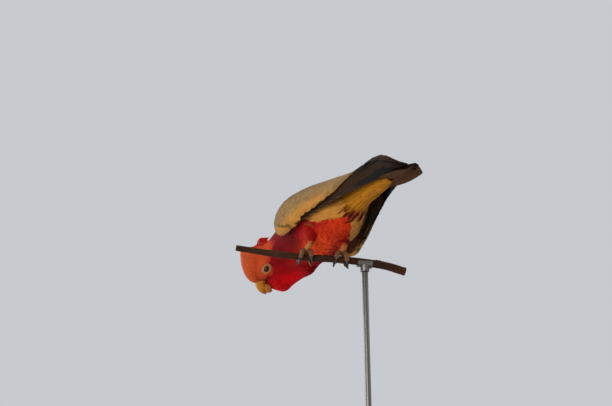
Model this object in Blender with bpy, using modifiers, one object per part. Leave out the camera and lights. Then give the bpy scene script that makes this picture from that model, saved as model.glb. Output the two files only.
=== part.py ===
"""A galah, a pink and grey cockatoo, as a still, life-size display model.

The bird stands on a cut length of branch with its back nearly level. Its head is lowered
and cocked, so that the left eye looks back and down and the crown faces its left side.
One rod holds the branch over a round base. Row frame: metres, +Z up, origin at the centre
of the base's underside. The bird faces -Y, and its left side is +X.
"""

import math

import bmesh
import bpy
import numpy as np
from mathutils import Matrix

MM = 0.001
GAP = 0.3 * MM  # the air that neighbouring solids keep between them

# ---- Pose. The trunk's frame is (left, back, up), turned by these and set at BODY_AT.
BODY_AT = np.array([36, -29, 360]) * MM
BODY_PITCH = 8.5  # degrees, head end down
BODY_ROLL = 9.5  # degrees, left side up

# The head's frame is (left, back, up) of the head, set at HEAD_AT in the trunk's frame. The
# head is tilted onto its left ear, then bent down, then turned to the left, in degrees.
HEAD_AT = np.array([31, -118, -37]) * MM
HEAD_TILT, HEAD_DOWN, HEAD_TURN = 55, 57, 18

# ---- Trunk, neck and head are one loft. A row of the trunk or neck says how far ahead, left
# and up the section's centre is, its half width, its height above and below the centre, all
# in mm, and the share of the head's turn that its plane has.
TRUNK = (
    (-82, 0, 1, 13.5, 13, 16, 0),
    (-68, 0, 1, 21, 20, 23, 0),
    (-42, 0, 0, 34, 30, 31, 0),
    (-8, 0, 0, 41.5, 36, 37, 0),
    (28, 0, 0, 44, 38, 41, 0),
    (58, 3, -2, 43, 36, 39.5, 0.2),
)
NECK = (
    (84, 11, -8, 39, 34, 42, 0.54),
    (104, 21, -20, 34, 30, 42.5, 0.87),
)
# A row of the head says, in the head's frame, how far ahead and up the section's centre is,
# its half width, and its height above and below.
HEAD = (
    (-9, 0, 27, 27, 44),
    (1, 0, 26, 26, 40),
    (10, 0, 22.5, 23, 36),
    (16, -1, 17, 20, 32),
    (19.5, -1.5, 12, 17.5, 28),
    (22.5, -2, 8, 14.5, 22.5),
    (25, -2, 4.5, 8.5, 13),
)
NECK_FROM = 70 * MM  # how far ahead the trunk ends and the neck starts
HEAD_FROM = -13 * MM  # where the head starts, ahead of its own centre
RING = 24  # points round a section
STEP = 10 * MM  # about how far apart the loft's sections stand

# ---- The face, in the head's frame
EYE_RADIUS = 4.9 * MM
EYE_AT = np.array([20.6, -2, 5.5]) * MM
# The bill's halves are horns wound about a pivot (ahead, up). A row has the angle above
# straight ahead, the inner and outer distance from the pivot, and the half width.
UPPER_PIVOT = (19, -5)
UPPER_BILL = (
    (82, 1, 17.6, 9.5),
    (60, 1.5, 18.2, 9.3),
    (38, 2.5, 18.2, 8.8),
    (18, 4, 17.8, 8),
    (2, 7, 17.2, 6.4),
    (-10, 11.3, 16.8, 4.2),
    (-20, 14.6, 16.6, 1.2),
)
LOWER_PIVOT = (17, -5.5)
LOWER_BILL = (
    (-8, 3, 11.5, 6.2),
    (-25, 2, 13, 7.8),
    (-50, 1.5, 14.2, 8.4),
    (-80, 1, 14, 8.2),
)
# The raised crest is a fan from a base line inside the crown to a line of tips. A row has
# the (ahead, up) of both, and the half thickness at the base.
CREST = (
    (17, 14, 26, 17, 7),
    (15, 14, 25.5, 28, 11),
    (11, 15, 18, 38.5, 13),
    (4, 16, 4, 48.5, 14),
    (-3, 16, -7, 50, 12),
    (-10, 15, -19, 38, 10),
    (-16, 13, -34, 33, 8),
)

# ---- Wings. They lie on an elliptical bed round the trunk. A row of the bed has how far
# ahead and up its centre is, and its half width and its heights above and below.
BED = (
    (70, -2, 48, 39, 45),
    (50, 0, 48, 41, 46),
    (28, 0, 48, 42, 43),
    (-8, 0, 44.5, 39, 39),
    (-42, 0, 37.5, 32, 33),
    (-75, 0, 30, 25, 27),
    (-110, -2, 24, 18, 20),
    (-150, -5, 17, 11, 13),
    (-188, -8, 11, 5, 7),
)
# A row of the wing's outline has how far ahead it is, the angles of the lower and the upper
# edge about the bed, in degrees above level, the thickness in mm, and how far the lower edge
# stands off the bed, as the wings hang loosely.
WING = (
    (62, 0, 16, 3, 2),
    (58, -11, 38, 6, 3),
    (49, -20, 58, 9, 6),
    (32, -27, 74, 10.5, 10),
    (8, -26, 82, 9.5, 8),
    (-35, -21, 85, 7.5, 4),
    (-75, -19, 86, 5, 3),
    (-115, -21, 86, 3.5, 1),
    (-150, -23, 82, 2.6, 0),
    (-168, -28, 62, 2, 0),
    (-182, -40, 10, 1.6, 0),
    (-188, -46, -20, 1.2, 0),
)
# Where the coverts end and the flight feathers show: how far ahead, and the share of the
# way from the lower edge to the upper one.
COVERT_EDGE = ((40, 0), (20, 0.02), (-8, 0.06), (-42, 0.13), (-75, 0.26), (-95, 0.5), (-112, 0.95))
FLIGHT_FROM = 12  # mm ahead
FLIGHT_SLIT = 0.02  # the slit between the two, as a share of the way
EDGE = 0.6 * MM  # how thick a wing or tail is at its edges
ACROSS = 7  # points from edge to edge

# ---- Tail and its coverts, in mm: how far ahead, how far up, half width, thickness
TAIL = (
    (-84, 0, 12, 4),
    (-105, -3, 16, 4),
    (-125, -6.5, 18.5, 3.8),
    (-165, -14, 18.5, 3),
    (-186, -17.5, 17.5, 2.4),
    (-197, -19.5, 14.5, 2),
    (-203, -20.5, 8.5, 1.5),
    (-206, -21, 3.5, 1),
)
TAIL_ROOF = 3 * MM  # how far the tail's sides hang below its middle
# A row of the coverts has how far ahead, the half width, and the depth from the tail.
UNDERTAIL = ((-83, 13, 14), (-105, 13, 13), (-130, 11, 8.5), (-148, 8, 4), (-159, 4.5, 1))
UPPERTAIL = ((-83, 13, 11), (-100, 13, 8.5), (-120, 10, 4), (-130, 6, 1))

# ---- Branch: its route in the row frame, with its radius, all in mm
BRANCH = (
    (160, -63, 312.5, 3.9),
    (114, -46, 306.5, 4.1),
    (73, -30, 302.5, 4.5),
    (29, -12, 300.5, 4.8),
    (0, 0, 297.7, 5),
    (-28, 10, 293.5, 5.2),
    (-52, 18, 287, 5.4),
)

# ---- Legs, as (left, ahead, up) in mm in the trunk's frame, and where along +X each foot
# grips the branch
HIP = (23, 3, -24)
ANKLES = ((25, -3, -45), (-21, -14, -39))
HIP_RADIUS, ANKLE_RADIUS = 15 * MM, 6.5 * MM
GRIPS = (73 * MM, 30 * MM)
SHANK_RADIUS = 3.2 * MM
TOE_RADIUS, TOE_TIP_RADIUS = 3 * MM, 2.2 * MM
# A toe has its offset along the branch at its root and at its tip, in mm towards the outer
# side, the way it wraps (1 ahead, -1 back), and how far round the branch it goes, in degrees.
TOES = ((3, 9, 1, 122), (-3, -7, 1, 105), (3.5, 8, -1, 112), (-3, -6.5, -1, 95))
CLAW_REACH = 52  # degrees

# ---- Stand
BASE_RADIUS, BASE_HEIGHT, BASE_EDGE = 95 * MM, 16 * MM, 4 * MM
ROD_RADIUS, FLANGE_RADIUS, FLANGE_HEIGHT = 4 * MM, 15 * MM, 3 * MM
CRADLE_WALL, CRADLE_LENGTH, BOSS_RADIUS = 2.4 * MM, 20 * MM, 6 * MM
BOSS_DROP = 13 * MM  # from the branch's axis to the rod's top


# ---------------------------------------------------------------- frames and curves


def rotation(axis, degrees):
    return np.array(Matrix.Rotation(math.radians(degrees), 3, axis))


BODY_TURN = rotation("X", BODY_PITCH) @ rotation("Y", -BODY_ROLL)
HEAD_TURNED = rotation("Z", HEAD_TURN) @ rotation("X", HEAD_DOWN) @ rotation("Y", HEAD_TILT)


def to_row(points):
    """Points of the trunk's frame, in metres, in the row frame."""
    return np.asarray(points) @ BODY_TURN.T + BODY_AT


def head_to_row(points):
    """Points of the head's frame, in metres, in the row frame."""
    return to_row(np.asarray(points) @ HEAD_TURNED.T + HEAD_AT)


def body_point(left, ahead, up):
    """A point of the trunk's frame, given in mm, in the row frame."""
    return to_row(np.array([left, -ahead, up]) * MM)


def smooth(stations, values, at):
    """A smooth curve through values at rising stations: cubic Hermite, slopes from neighbours."""
    stations, values, at = (np.asarray(x, float) for x in (stations, values, at))
    slopes = np.gradient(values, stations, axis=0)
    i = np.clip(np.searchsorted(stations, at, side="right") - 1, 0, len(stations) - 2)
    span = (stations[i + 1] - stations[i])[:, None]
    t = (at - stations[i])[:, None] / span
    return (
        (1 + 2 * t) * (1 - t) ** 2 * values[i]
        + t * (1 - t) ** 2 * span * slopes[i]
        + t * t * (3 - 2 * t) * values[i + 1]
        - t * t * (1 - t) * span * slopes[i + 1]
    )


def read(rows, ahead):
    """The smooth values of a table at distances ahead, in mm, one array for each column."""
    rows = np.array(sorted(rows), float)
    return smooth(rows[:, 0], rows[:, 1:], ahead).T * MM


def turned_by(share, full):
    """The rotation matrix that goes the given share of the way to full."""
    whole = Matrix(full.tolist()).to_quaternion()
    return np.array(Matrix.Identity(3).to_quaternion().slerp(whole, share).to_matrix())


# ---------------------------------------------------------------- making meshes


def start_scene():
    """An empty scene with one collection for the parts."""
    for old in list(bpy.data.objects):
        bpy.data.objects.remove(old)
    parts = bpy.data.collections.new("galah")
    bpy.context.scene.collection.children.link(parts)
    return parts


def coloured(name, colour, roughness=0.7, metallic=0.0):
    material = bpy.data.materials.new(name)
    material.use_nodes = True
    shader = material.node_tree.nodes["Principled BSDF"]
    shader.inputs["Base Color"].default_value = (*colour, 1)
    shader.inputs["Roughness"].default_value = roughness
    shader.inputs["Metallic"].default_value = metallic
    return material


def finish(name, mesh, material):
    """An object of this mesh among the parts, its faces turned outwards and shaded smooth."""
    shape = bmesh.new()
    shape.from_mesh(mesh)
    bmesh.ops.recalc_face_normals(shape, faces=shape.faces)
    shape.to_mesh(mesh)
    shape.free()
    mesh.shade_smooth()
    mesh.set_sharp_from_angle(angle=math.radians(40))
    mesh.materials.clear()
    mesh.materials.append(material)
    made = bpy.data.objects.new(name, mesh)
    PARTS.objects.link(made)
    return made


def loft(name, rings, material):
    """A closed body through rings of points in the row frame, each end capped flat.

    Every cell is split along the same diagonal, so that a swollen copy stays outside it.
    """
    rings = np.asarray(rings)
    count, ring = rings.shape[:2]
    faces = [tuple(range(ring)), tuple(range(count * ring - 1, (count - 1) * ring - 1, -1))]
    for i in range(count - 1):
        for j in range(ring):
            a, b = i * ring + j, i * ring + (j + 1) % ring
            faces.append((a, b, b + ring))
            faces.append((a, b + ring, a + ring))
    mesh = bpy.data.meshes.new(name)
    mesh.from_pydata(rings.reshape(-1, 3).tolist(), [], faces)
    return finish(name, mesh, material)


def as_mesh(made):
    """The object's evaluated shape as a plain mesh object in its place, its doubles merged."""
    bpy.context.view_layer.update()
    graph = bpy.context.evaluated_depsgraph_get()
    mesh = bpy.data.meshes.new_from_object(made.evaluated_get(graph))
    mesh.transform(made.matrix_world)
    shape = bmesh.new()
    shape.from_mesh(mesh)
    bmesh.ops.remove_doubles(shape, verts=shape.verts, dist=0.01 * MM)
    shape.to_mesh(mesh)
    shape.free()
    name, material = made.name, made.data.materials[0]
    bpy.data.objects.remove(made)
    made = finish("part", mesh, material)
    made.name = name
    return made


def combined(made, other, operation):
    """The object after a Boolean with another one, which is used up."""
    boolean = made.modifiers.new(operation.lower(), "BOOLEAN")
    boolean.operation = operation
    boolean.solver = "EXACT"
    boolean.object = other
    result = as_mesh(made)
    bpy.data.objects.remove(other)
    return result


def tube(name, path, radii, material, fineness=2):
    """A round tube with filled caps through the points of a path, with a radius at each."""
    curve = bpy.data.curves.new(name, "CURVE")
    curve.dimensions = "3D"
    curve.bevel_depth = 1
    curve.bevel_resolution = fineness
    curve.use_fill_caps = True
    spline = curve.splines.new("POLY")
    spline.points.add(len(path) - 1)
    for point, place, radius in zip(spline.points, path, radii):
        point.co = (*place, 1)
        point.radius = radius
    curve.materials.append(material)
    made = bpy.data.objects.new(name, curve)
    PARTS.objects.link(made)
    return as_mesh(made)


def turned(name, profile, material, steps=32):
    """A turned shape: the profile's (radius, height) points run down its outer side."""
    mesh = bpy.data.meshes.new(name)
    edges = [(i, i + 1) for i in range(len(profile) - 1)]
    mesh.from_pydata([(radius, 0, height) for radius, height in profile], edges, [])
    mesh.materials.append(material)
    made = bpy.data.objects.new(name, mesh)
    screw = made.modifiers.new("turn", "SCREW")
    screw.steps = screw.render_steps = steps
    screw.use_merge_vertices = True
    screw.merge_threshold = 0.0001 * MM
    PARTS.objects.link(made)
    return as_mesh(made)


def ball(name, centre, radius, material):
    bpy.ops.mesh.primitive_uv_sphere_add(segments=14, ring_count=8, radius=radius, location=centre)
    made = bpy.context.object
    for group in made.users_collection:
        group.objects.unlink(made)
    PARTS.objects.link(made)
    made.name = name
    made.data.materials.append(material)
    return as_mesh(made)


# ---------------------------------------------------------------- trunk, neck and head


def body_sections():
    """Each section's place along the loft, its centre, sizes and plane, in the trunk's frame."""
    centres, sizes, planes = [], [], []
    for ahead, left, up, *size, share in TRUNK + NECK:
        centres.append(np.array([left, -ahead, up]) * MM)
        sizes.append(size)
        planes.append(turned_by(share, HEAD_TURNED))
    for ahead, up, *size in HEAD:
        centres.append(HEAD_AT + HEAD_TURNED @ (np.array([0, -ahead, up]) * MM))
        sizes.append(size)
        planes.append(HEAD_TURNED)
    centres = np.array(centres)
    along = np.append(0, np.cumsum(np.linalg.norm(np.diff(centres, axis=0), axis=1)))
    return along, centres, np.array(sizes) * MM, np.array(planes)


ALONG, CENTRES, SIZES, PLANES = body_sections()
TRUNK_ROWS, HEAD_ROW = len(TRUNK), len(TRUNK + NECK)
NECK_START = float(np.interp(NECK_FROM, -CENTRES[:HEAD_ROW, 1], ALONG[:HEAD_ROW]))
HEAD_START = ALONG[HEAD_ROW] + HEAD_FROM - HEAD[0][0] * MM


def stretch(start, end, swell=0.0):
    """The loft's rings from start to end along it, swollen by that much, in the row frame."""
    at = np.linspace(start, end, max(3, round((end - start) / STEP) + 1))
    centre = smooth(ALONG, CENTRES, at)
    half, above, below = smooth(ALONG, SIZES, at).T[:, :, None] + swell
    plane = smooth(ALONG, PLANES.reshape(-1, 9), at).reshape(-1, 3, 3)
    plane /= np.linalg.norm(plane, axis=1, keepdims=True)
    angle = np.linspace(0, 2 * np.pi, RING, endpoint=False)
    x = (half * np.cos(angle))[..., None]
    z = (np.where(np.sin(angle) > 0, above, below) * np.sin(angle))[..., None]
    return to_row(centre[:, None] + x * plane[:, None, :, 0] + z * plane[:, None, :, 2])


def swollen_head():
    """Neck and head as one body, a little larger all round."""
    neck = stretch(NECK_START + 2 * GAP, HEAD_START, 2 * GAP)
    skull = stretch(HEAD_START + 2 * GAP, ALONG[-1], 2 * GAP)
    before_face = skull[-1:] + BODY_TURN @ HEAD_TURNED @ (0, -2 * GAP, 0)
    return loft("cutter", np.concatenate([neck, skull, before_face]), FACE)


def horn(name, pivot, rows, material):
    """Half of the bill: elliptical sections wound about a pivot, cut to fit the face."""
    rows = np.array(sorted(rows), float)
    angles = np.linspace(rows[0, 0], rows[-1, 0], 9)
    inner, outer, half = smooth(rows[:, 0], rows[:, 1:], angles).T[..., None] * MM
    round_about = np.linspace(0, 2 * np.pi, 14, endpoint=False)
    reach = (inner + outer) / 2 + (outer - inner) / 2 * np.cos(round_about)
    left = half * np.sin(round_about)
    rise = np.radians(angles)[:, None]
    back = -pivot[0] * MM - reach * np.cos(rise)
    up = pivot[1] * MM + reach * np.sin(rise)
    made = loft(name, head_to_row(np.stack([left, back, up], axis=-1)), material)
    return combined(made, swollen_head(), "DIFFERENCE")


def crest():
    """The raised crest: lens sections from the crown to the line of tips, side by side."""
    rows = np.array(CREST, float)
    place = np.linspace(0, len(rows) - 1, 13)
    values = smooth(np.arange(len(rows)), rows, place) * MM
    base, tip, half = values[:, :2], values[:, 2:4], values[:, 4]
    out = np.array([0, 0.35, 0.6, 0.8, 0.93, 1])
    thick = EDGE + half[:, None] * np.sqrt(1 - out**2)
    line = base[:, None] + (tip - base)[:, None] * out[:, None]
    side = np.stack([thick, -line[..., 0], line[..., 1]], axis=-1)
    other = side[:, ::-1] * (-1, 1, 1)
    made = loft("crest", head_to_row(np.concatenate([side, other], axis=1)), CAP)
    return combined(made, swollen_head(), "DIFFERENCE")


def body():
    loft("trunk", stretch(0, NECK_START), PINK)
    loft("neck", stretch(NECK_START + 2 * GAP, HEAD_START), PINK)
    skull = loft("head", stretch(HEAD_START + 2 * GAP, ALONG[-1]), FACE)
    for name, side in (("eye_left", 1), ("eye_right", -1)):
        centre = head_to_row(EYE_AT * (side, 1, 1))
        skull = combined(skull, ball("socket", centre, EYE_RADIUS + GAP, EYE), "DIFFERENCE")
        ball(name, centre, EYE_RADIUS, EYE)
    horn("bill_upper", UPPER_PIVOT, UPPER_BILL, HORN)
    horn("bill_lower", LOWER_PIVOT, LOWER_BILL, HORN)
    crest()


# ---------------------------------------------------------------- wings and tail


def plate(name, side, ahead, start, end, thinner, material):
    """A strip of a wing between two shares of the way from its lower edge to its upper one."""
    up, half, above, below = (x[:, None] for x in read(BED, ahead))
    low, high, thick, lift = (x[:, None] / MM for x in read(WING, ahead))
    across = np.linspace(0, 1, ACROSS)
    share = start[:, None] + (end - start)[:, None] * across
    angle = np.radians(low + (high - low) * share)
    height = np.where(angle > 0, above, below)
    hang = lift * (1 - share) * MM
    swell = EDGE + thick * thinner * MM * np.sqrt(1 - (2 * across - 1) ** 4)

    def skin(out):
        left = side * (half + out) * np.cos(angle)
        back = np.broadcast_to(-ahead[:, None] * MM, left.shape)
        return np.stack([left, back, up + (height + out) * np.sin(angle)], axis=-1)

    rings = np.concatenate([skin(hang + swell), skin(hang)[:, ::-1]], axis=1)
    return loft(name, to_row(rings), material)


def wing(name, side):
    """One folded wing: the coverts over its front and top, the flight feathers behind them."""
    border = np.array(sorted(COVERT_EDGE), float)
    coverts_end = border[0, 0] + 1
    ahead = np.linspace(WING[0][0], coverts_end, 20)
    edge = np.interp(ahead, border[:, 0], border[:, 1])
    plate(f"wing_{name}", side, ahead, edge, np.ones_like(ahead), 1, GREY)

    behind = np.linspace(coverts_end - 2, WING[-1][0], 9)
    ahead = np.concatenate([np.linspace(FLIGHT_FROM, coverts_end, 12), behind])
    edge = np.interp(ahead, border[:, 0], border[:, 1])
    edge = np.where(ahead < coverts_end, 1, edge - FLIGHT_SLIT)
    plate(f"flight_{name}", side, ahead, np.zeros_like(ahead), edge, 0.7, DARK)


def tail():
    ahead = np.linspace(TAIL[0][0], TAIL[-1][0], 15)
    up, half, thick = (x[:, None] for x in read(TAIL, ahead))
    share = np.linspace(-1, 1, ACROSS)
    middle = up - TAIL_ROOF * share**2
    swell = (EDGE + (thick - EDGE) * np.sqrt(1 - share**4)) / 2
    left = half * share
    back = np.broadcast_to(-ahead[:, None] * MM, left.shape)
    top, under = (np.stack([left, back, middle + s * swell], axis=-1) for s in (1, -1))
    loft("tail", to_row(np.concatenate([top, under[:, ::-1]], axis=1)), DARK)


def tail_coverts(name, rows, side, material):
    """A half-round wedge of coverts over (side 1) or under (side -1) the tail's root."""
    ahead = np.linspace(rows[0][0], rows[-1][0], 7)
    half, depth = (x[:, None] for x in read(rows, ahead))
    up, tail_half, thick = (x[:, None] for x in read(TAIL, ahead))
    angle = np.linspace(0, np.pi, ACROSS)
    left = half * np.cos(angle)
    lean = TAIL_ROOF * np.minimum(1, (left / tail_half) ** 2)
    flat = up - lean + side * (thick / 2 + 2 * GAP)
    back = np.broadcast_to(-ahead[:, None] * MM, left.shape)
    near = np.stack([left, back, flat], axis=-1)
    far = np.stack([left, back, flat + side * (EDGE + depth * np.sin(angle))], axis=-1)
    loft(name, to_row(np.concatenate([far, near[:, ::-1]], axis=1)), material)


# ---------------------------------------------------------------- branch, legs and feet


def branch_path(count):
    """Points along the branch's axis from its left end, and the radius at each."""
    rows = np.array(BRANCH, float) * MM
    along = np.append(0, np.cumsum(np.linalg.norm(np.diff(rows[:, :3], axis=0), axis=1)))
    values = smooth(along, rows, np.linspace(0, along[-1], count))
    return values[:, :3], values[:, 3]


PATH, PATH_RADII = branch_path(20)


def on_branch(x):
    """The axis point of the branch at this x, its radius, and the ways along, ahead and up."""
    fine, radii = branch_path(400)
    i = int(np.argmin(abs(fine[:, 0] - x)))
    along = fine[i - 1] - fine[i + 1]
    along /= np.linalg.norm(along)
    up = np.array([0, 0, 1]) - along * along[2]
    up /= np.linalg.norm(up)
    return fine[i], radii[i], along, np.cross(along, up), up


def swollen_branch():
    return tube("cutter", PATH, PATH_RADII + GAP, BARK)


def swollen_trunk():
    return loft("cutter", stretch(-GAP, NECK_START, GAP), PINK)


def leg(name, side, ankle, grip):
    """One leg: the feathered thigh, the foot round the branch, and its four claws."""
    centre, radius, along, ahead, up = on_branch(grip)
    hip, ankle = body_point(side * HIP[0], *HIP[1:]), body_point(*ankle)
    down = (ankle - hip) / np.linalg.norm(ankle - hip)
    share = np.linspace(0, 1, 6)
    girth = ANKLE_RADIUS + (HIP_RADIUS - ANKLE_RADIUS) * (1 - share**2)
    thigh = tube(f"thigh_{name}", hip + share[:, None] * (ankle - hip), girth, PINK, 4)
    combined(thigh, swollen_trunk(), "DIFFERENCE")

    reach = radius + GAP + TOE_RADIUS
    sole = centre + up * (reach + TOE_RADIUS / 2)
    shank = [ankle + down * GAP, ankle + down * 4 * MM, sole]
    foot = tube(f"foot_{name}", shank, [SHANK_RADIUS, SHANK_RADIUS, TOE_RADIUS * 1.3], SCALE)
    foot = combined(foot, ball("pad", sole, TOE_RADIUS * 1.5, SCALE), "UNION")
    for number, (root, tip, way, wrap) in enumerate(TOES, 1):

        def point(degrees, root=root, tip=tip, way=way, wrap=wrap):
            turn = math.radians(degrees)
            out = reach + 1.5 * MM * degrees / wrap
            offset = side * (root + (tip - root) * degrees / wrap) * MM
            return centre + along * offset + out * (math.cos(turn) * up + math.sin(turn) * way * ahead)

        path = [point(d) for d in np.linspace(0, wrap, 7)]
        toe = tube("toe", path, np.linspace(TOE_RADIUS, TOE_TIP_RADIUS, 7), SCALE)
        foot = combined(foot, toe, "UNION")
        start = wrap + math.degrees(1.2 * GAP / reach)
        path = [point(d) for d in np.linspace(start, wrap + CLAW_REACH, 5)]
        claw = tube(f"claw_{name}_{number}", path, np.linspace(1.7, 0.4, 5) * MM, CLAW)
        combined(claw, swollen_branch(), "DIFFERENCE")
    combined(foot, swollen_branch(), "DIFFERENCE")


# ---------------------------------------------------------------- stand


def stand():
    """The round base, the rod with its flange, and the cradle that holds the branch."""
    edge, top = BASE_RADIUS - BASE_EDGE, BASE_HEIGHT - BASE_EDGE
    turn = np.radians(np.linspace(90, 0, 5))
    rim = [(edge + BASE_EDGE * math.cos(a), top + BASE_EDGE * math.sin(a)) for a in turn]
    turned("stand_base", [(0, BASE_HEIGHT), *rim, (BASE_RADIUS, 0), (0, 0)], WOOD)

    centre, radius, along, _, _ = on_branch(0)
    foot, rod_top = BASE_HEIGHT + GAP, centre[2] - BOSS_DROP
    flange = foot + FLANGE_HEIGHT
    profile = [(0, rod_top), (ROD_RADIUS, rod_top), (ROD_RADIUS, flange + 2 * MM)]
    profile += [(ROD_RADIUS + 2 * MM, flange), (FLANGE_RADIUS, flange), (FLANGE_RADIUS, foot), (0, foot)]
    turned("stand_rod", profile, STEEL, steps=24)

    boss = [(0, centre[2]), (BOSS_RADIUS, centre[2])]
    boss += [(BOSS_RADIUS, rod_top + GAP), (0, rod_top + GAP)]
    cradle = turned("stand_cradle", boss, STEEL, steps=24)
    ends = [centre - along * CRADLE_LENGTH / 2, centre + along * CRADLE_LENGTH / 2]
    wall = tube("wall", ends, [radius + CRADLE_WALL] * 2, STEEL, 6)
    cradle = combined(cradle, wall, "UNION")
    bpy.ops.mesh.primitive_cube_add(size=60 * MM, location=centre + np.array([0, 0, 30.5 * MM]))
    lid = bpy.context.object
    lid.data.materials.append(STEEL)
    cradle = combined(cradle, lid, "DIFFERENCE")
    combined(cradle, swollen_branch(), "DIFFERENCE")


PARTS = start_scene()
PINK = coloured("rose_plumage", (0.55, 0.05, 0.06))
FACE = coloured("face_plumage", (0.60, 0.09, 0.06))
CAP = coloured("pale_cap_plumage", (0.72, 0.20, 0.10))
GREY = coloured("pale_grey_plumage", (0.45, 0.33, 0.20))
DARK = coloured("dark_quills", (0.06, 0.04, 0.03))
HORN = coloured("bill_horn", (0.62, 0.38, 0.18), 0.4)
CLAW = coloured("claw_horn", (0.05, 0.04, 0.03), 0.4)
SCALE = coloured("scaly_skin", (0.32, 0.18, 0.10), 0.6)
EYE = coloured("eye", (0.02, 0.01, 0.01), 0.1)
BARK = coloured("bark", (0.22, 0.12, 0.06), 0.85)
WOOD = coloured("base_wood", (0.10, 0.06, 0.04), 0.5)
STEEL = coloured("rod_steel", (0.55, 0.55, 0.55), 0.3, 1)

body()
for wing_name, wing_side in (("left", 1), ("right", -1)):
    wing(wing_name, wing_side)
tail()
tail_coverts("undertail_coverts", UNDERTAIL, -1, GREY)
tail_coverts("uppertail_coverts", UPPERTAIL, 1, GREY)
tube("branch", PATH, PATH_RADII, BARK)
leg("left", 1, ANKLES[0], GRIPS[0])
leg("right", -1, ANKLES[1], GRIPS[1])
stand()
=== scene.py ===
# %% [markdown]
# # A galah on a display stand
# This lesson builds a life-size galah, a pink and grey cockatoo, that grips a cut branch on a
# rod and a round base. A packed set of plain solids gives the size and place of every part.
# Each step below replaces some of them with a finer shape, or gives them a finish. The first
# cell loads the solids.

import functools
import math

import bpy
import numpy as np
from mathutils import Matrix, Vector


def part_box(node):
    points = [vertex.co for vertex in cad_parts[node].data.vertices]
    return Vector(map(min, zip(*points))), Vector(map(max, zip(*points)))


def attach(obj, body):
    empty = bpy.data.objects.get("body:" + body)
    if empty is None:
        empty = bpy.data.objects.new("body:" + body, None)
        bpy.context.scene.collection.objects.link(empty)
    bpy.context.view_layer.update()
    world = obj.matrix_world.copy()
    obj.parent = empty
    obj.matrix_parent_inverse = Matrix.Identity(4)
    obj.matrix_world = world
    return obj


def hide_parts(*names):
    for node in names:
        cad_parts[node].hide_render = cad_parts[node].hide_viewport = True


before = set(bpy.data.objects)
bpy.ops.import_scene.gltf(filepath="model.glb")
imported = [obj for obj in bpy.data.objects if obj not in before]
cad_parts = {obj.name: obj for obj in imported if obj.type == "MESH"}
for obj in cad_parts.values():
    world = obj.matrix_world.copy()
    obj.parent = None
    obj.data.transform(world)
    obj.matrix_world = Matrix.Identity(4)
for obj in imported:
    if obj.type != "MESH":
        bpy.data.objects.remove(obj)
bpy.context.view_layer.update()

# %% [markdown]
# ## Curves through tables
# The bird's form is told by short tables: a row says how wide and high the body is at one
# station. A smooth curve through each column gives every size between the rows. The curve is
# a cubic that takes its slope at a row from the rows on both sides, so it never kinks.

# %% Smooth curves
MM = 0.001
SEED = 41
RANDOM = np.random.default_rng(SEED)


def smooth(stations, values, at):
    """Cubic Hermite curve: each piece blends its two end values and their slopes."""
    stations, values, at = (np.asarray(x, float) for x in (stations, values, at))
    slopes = np.gradient(values, stations, axis=0)
    i = np.clip(np.searchsorted(stations, at, side="right") - 1, 0, len(stations) - 2)
    span = (stations[i + 1] - stations[i])[..., None]
    t = (at - stations[i])[..., None] / span
    return (
        (1 + 2 * t) * (1 - t) ** 2 * values[i]
        + t * (1 - t) ** 2 * span * slopes[i]
        + t * t * (3 - 2 * t) * values[i + 1]
        - t * t * (1 - t) * span * slopes[i + 1]
    )


def read(rows, ahead):
    """The columns of a table of millimetres at distances ahead, in metres, last axis first."""
    rows = np.array(sorted(rows), float)
    return np.moveaxis(smooth(rows[:, 0], rows[:, 1:], ahead), -1, 0) * MM


def step(low, high, x):
    """0 below low and 1 above high, with an S-shaped rise between."""
    t = np.clip((np.asarray(x, float) - low) / (high - low), 0, 1)
    return t * t * (3 - 2 * t)


def unit(vectors):
    """Each vector divided by its length."""
    return vectors / np.maximum(np.linalg.norm(vectors, axis=-1, keepdims=True), 1e-12)


def along_table(table, x):
    """Straight lines between the pairs of a table."""
    return np.interp(x, *np.array(table, float).T)


def joined(*parts):
    """Arrays that broadcast together, as one array with the parts along its last axis."""
    return np.stack(np.broadcast_arrays(*parts), axis=-1)


def bend(start, pull, end, share):
    """A quadratic curve from start to end, drawn towards the pull on its way."""
    return (1 - share) ** 2 * start + 2 * share * (1 - share) * pull + share**2 * end


def full_turn(count):
    """This many evenly spaced angles round a circle, in radians."""
    return np.linspace(0, 2 * np.pi, count, endpoint=False)


# %% [markdown]
# ## Two frames of the bird
# The body leans and rolls on its perch, and the head is bent down and tilted onto its left
# ear. It is easier to say "12 mm left of the midline" than to work with the leaning axes, so
# every shape is written in the trunk's or the head's own frame (left, back, up) and then
# turned into place.

# %% The trunk's frame and the head's frame


def rotation(axis, degrees):
    """The matrix that turns points about one axis."""
    return np.array(Matrix.Rotation(math.radians(degrees), 3, axis))


BODY_AT = np.array([36, -29, 360]) * MM  # the trunk's origin in the model's frame
BODY_TURN = rotation("X", 8.5) @ rotation("Y", -9.5)  # its pitch and roll on the perch
HEAD_AT = np.array([31, -118, -37]) * MM  # the head's origin in the trunk's frame
HEAD_TURN = rotation("Z", 18) @ rotation("X", 57) @ rotation("Y", 55)


def to_row(points):
    """Trunk's frame to the model's: turn, then move."""
    return np.asarray(points) @ BODY_TURN.T + BODY_AT


def head_to_row(points):
    """Head's frame to the trunk's, then to the model's."""
    return to_row(np.asarray(points) @ HEAD_TURN.T + HEAD_AT)


def from_row(points):
    """The model's frame to the trunk's."""
    return (np.asarray(points) - BODY_AT) @ BODY_TURN


def head_from_row(points):
    """The model's frame to the head's."""
    return (from_row(points) - HEAD_AT) @ HEAD_TURN


def turned_by(share, full):
    """A share of a turn, at an even pace about the turn's own axis."""
    whole = Matrix(full.tolist()).to_quaternion()
    return np.array(Matrix.Identity(3).to_quaternion().slerp(whole, share).to_matrix())


print("the head's crown points", np.round(BODY_TURN @ HEAD_TURN @ (0, 0, 1), 2))

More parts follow.
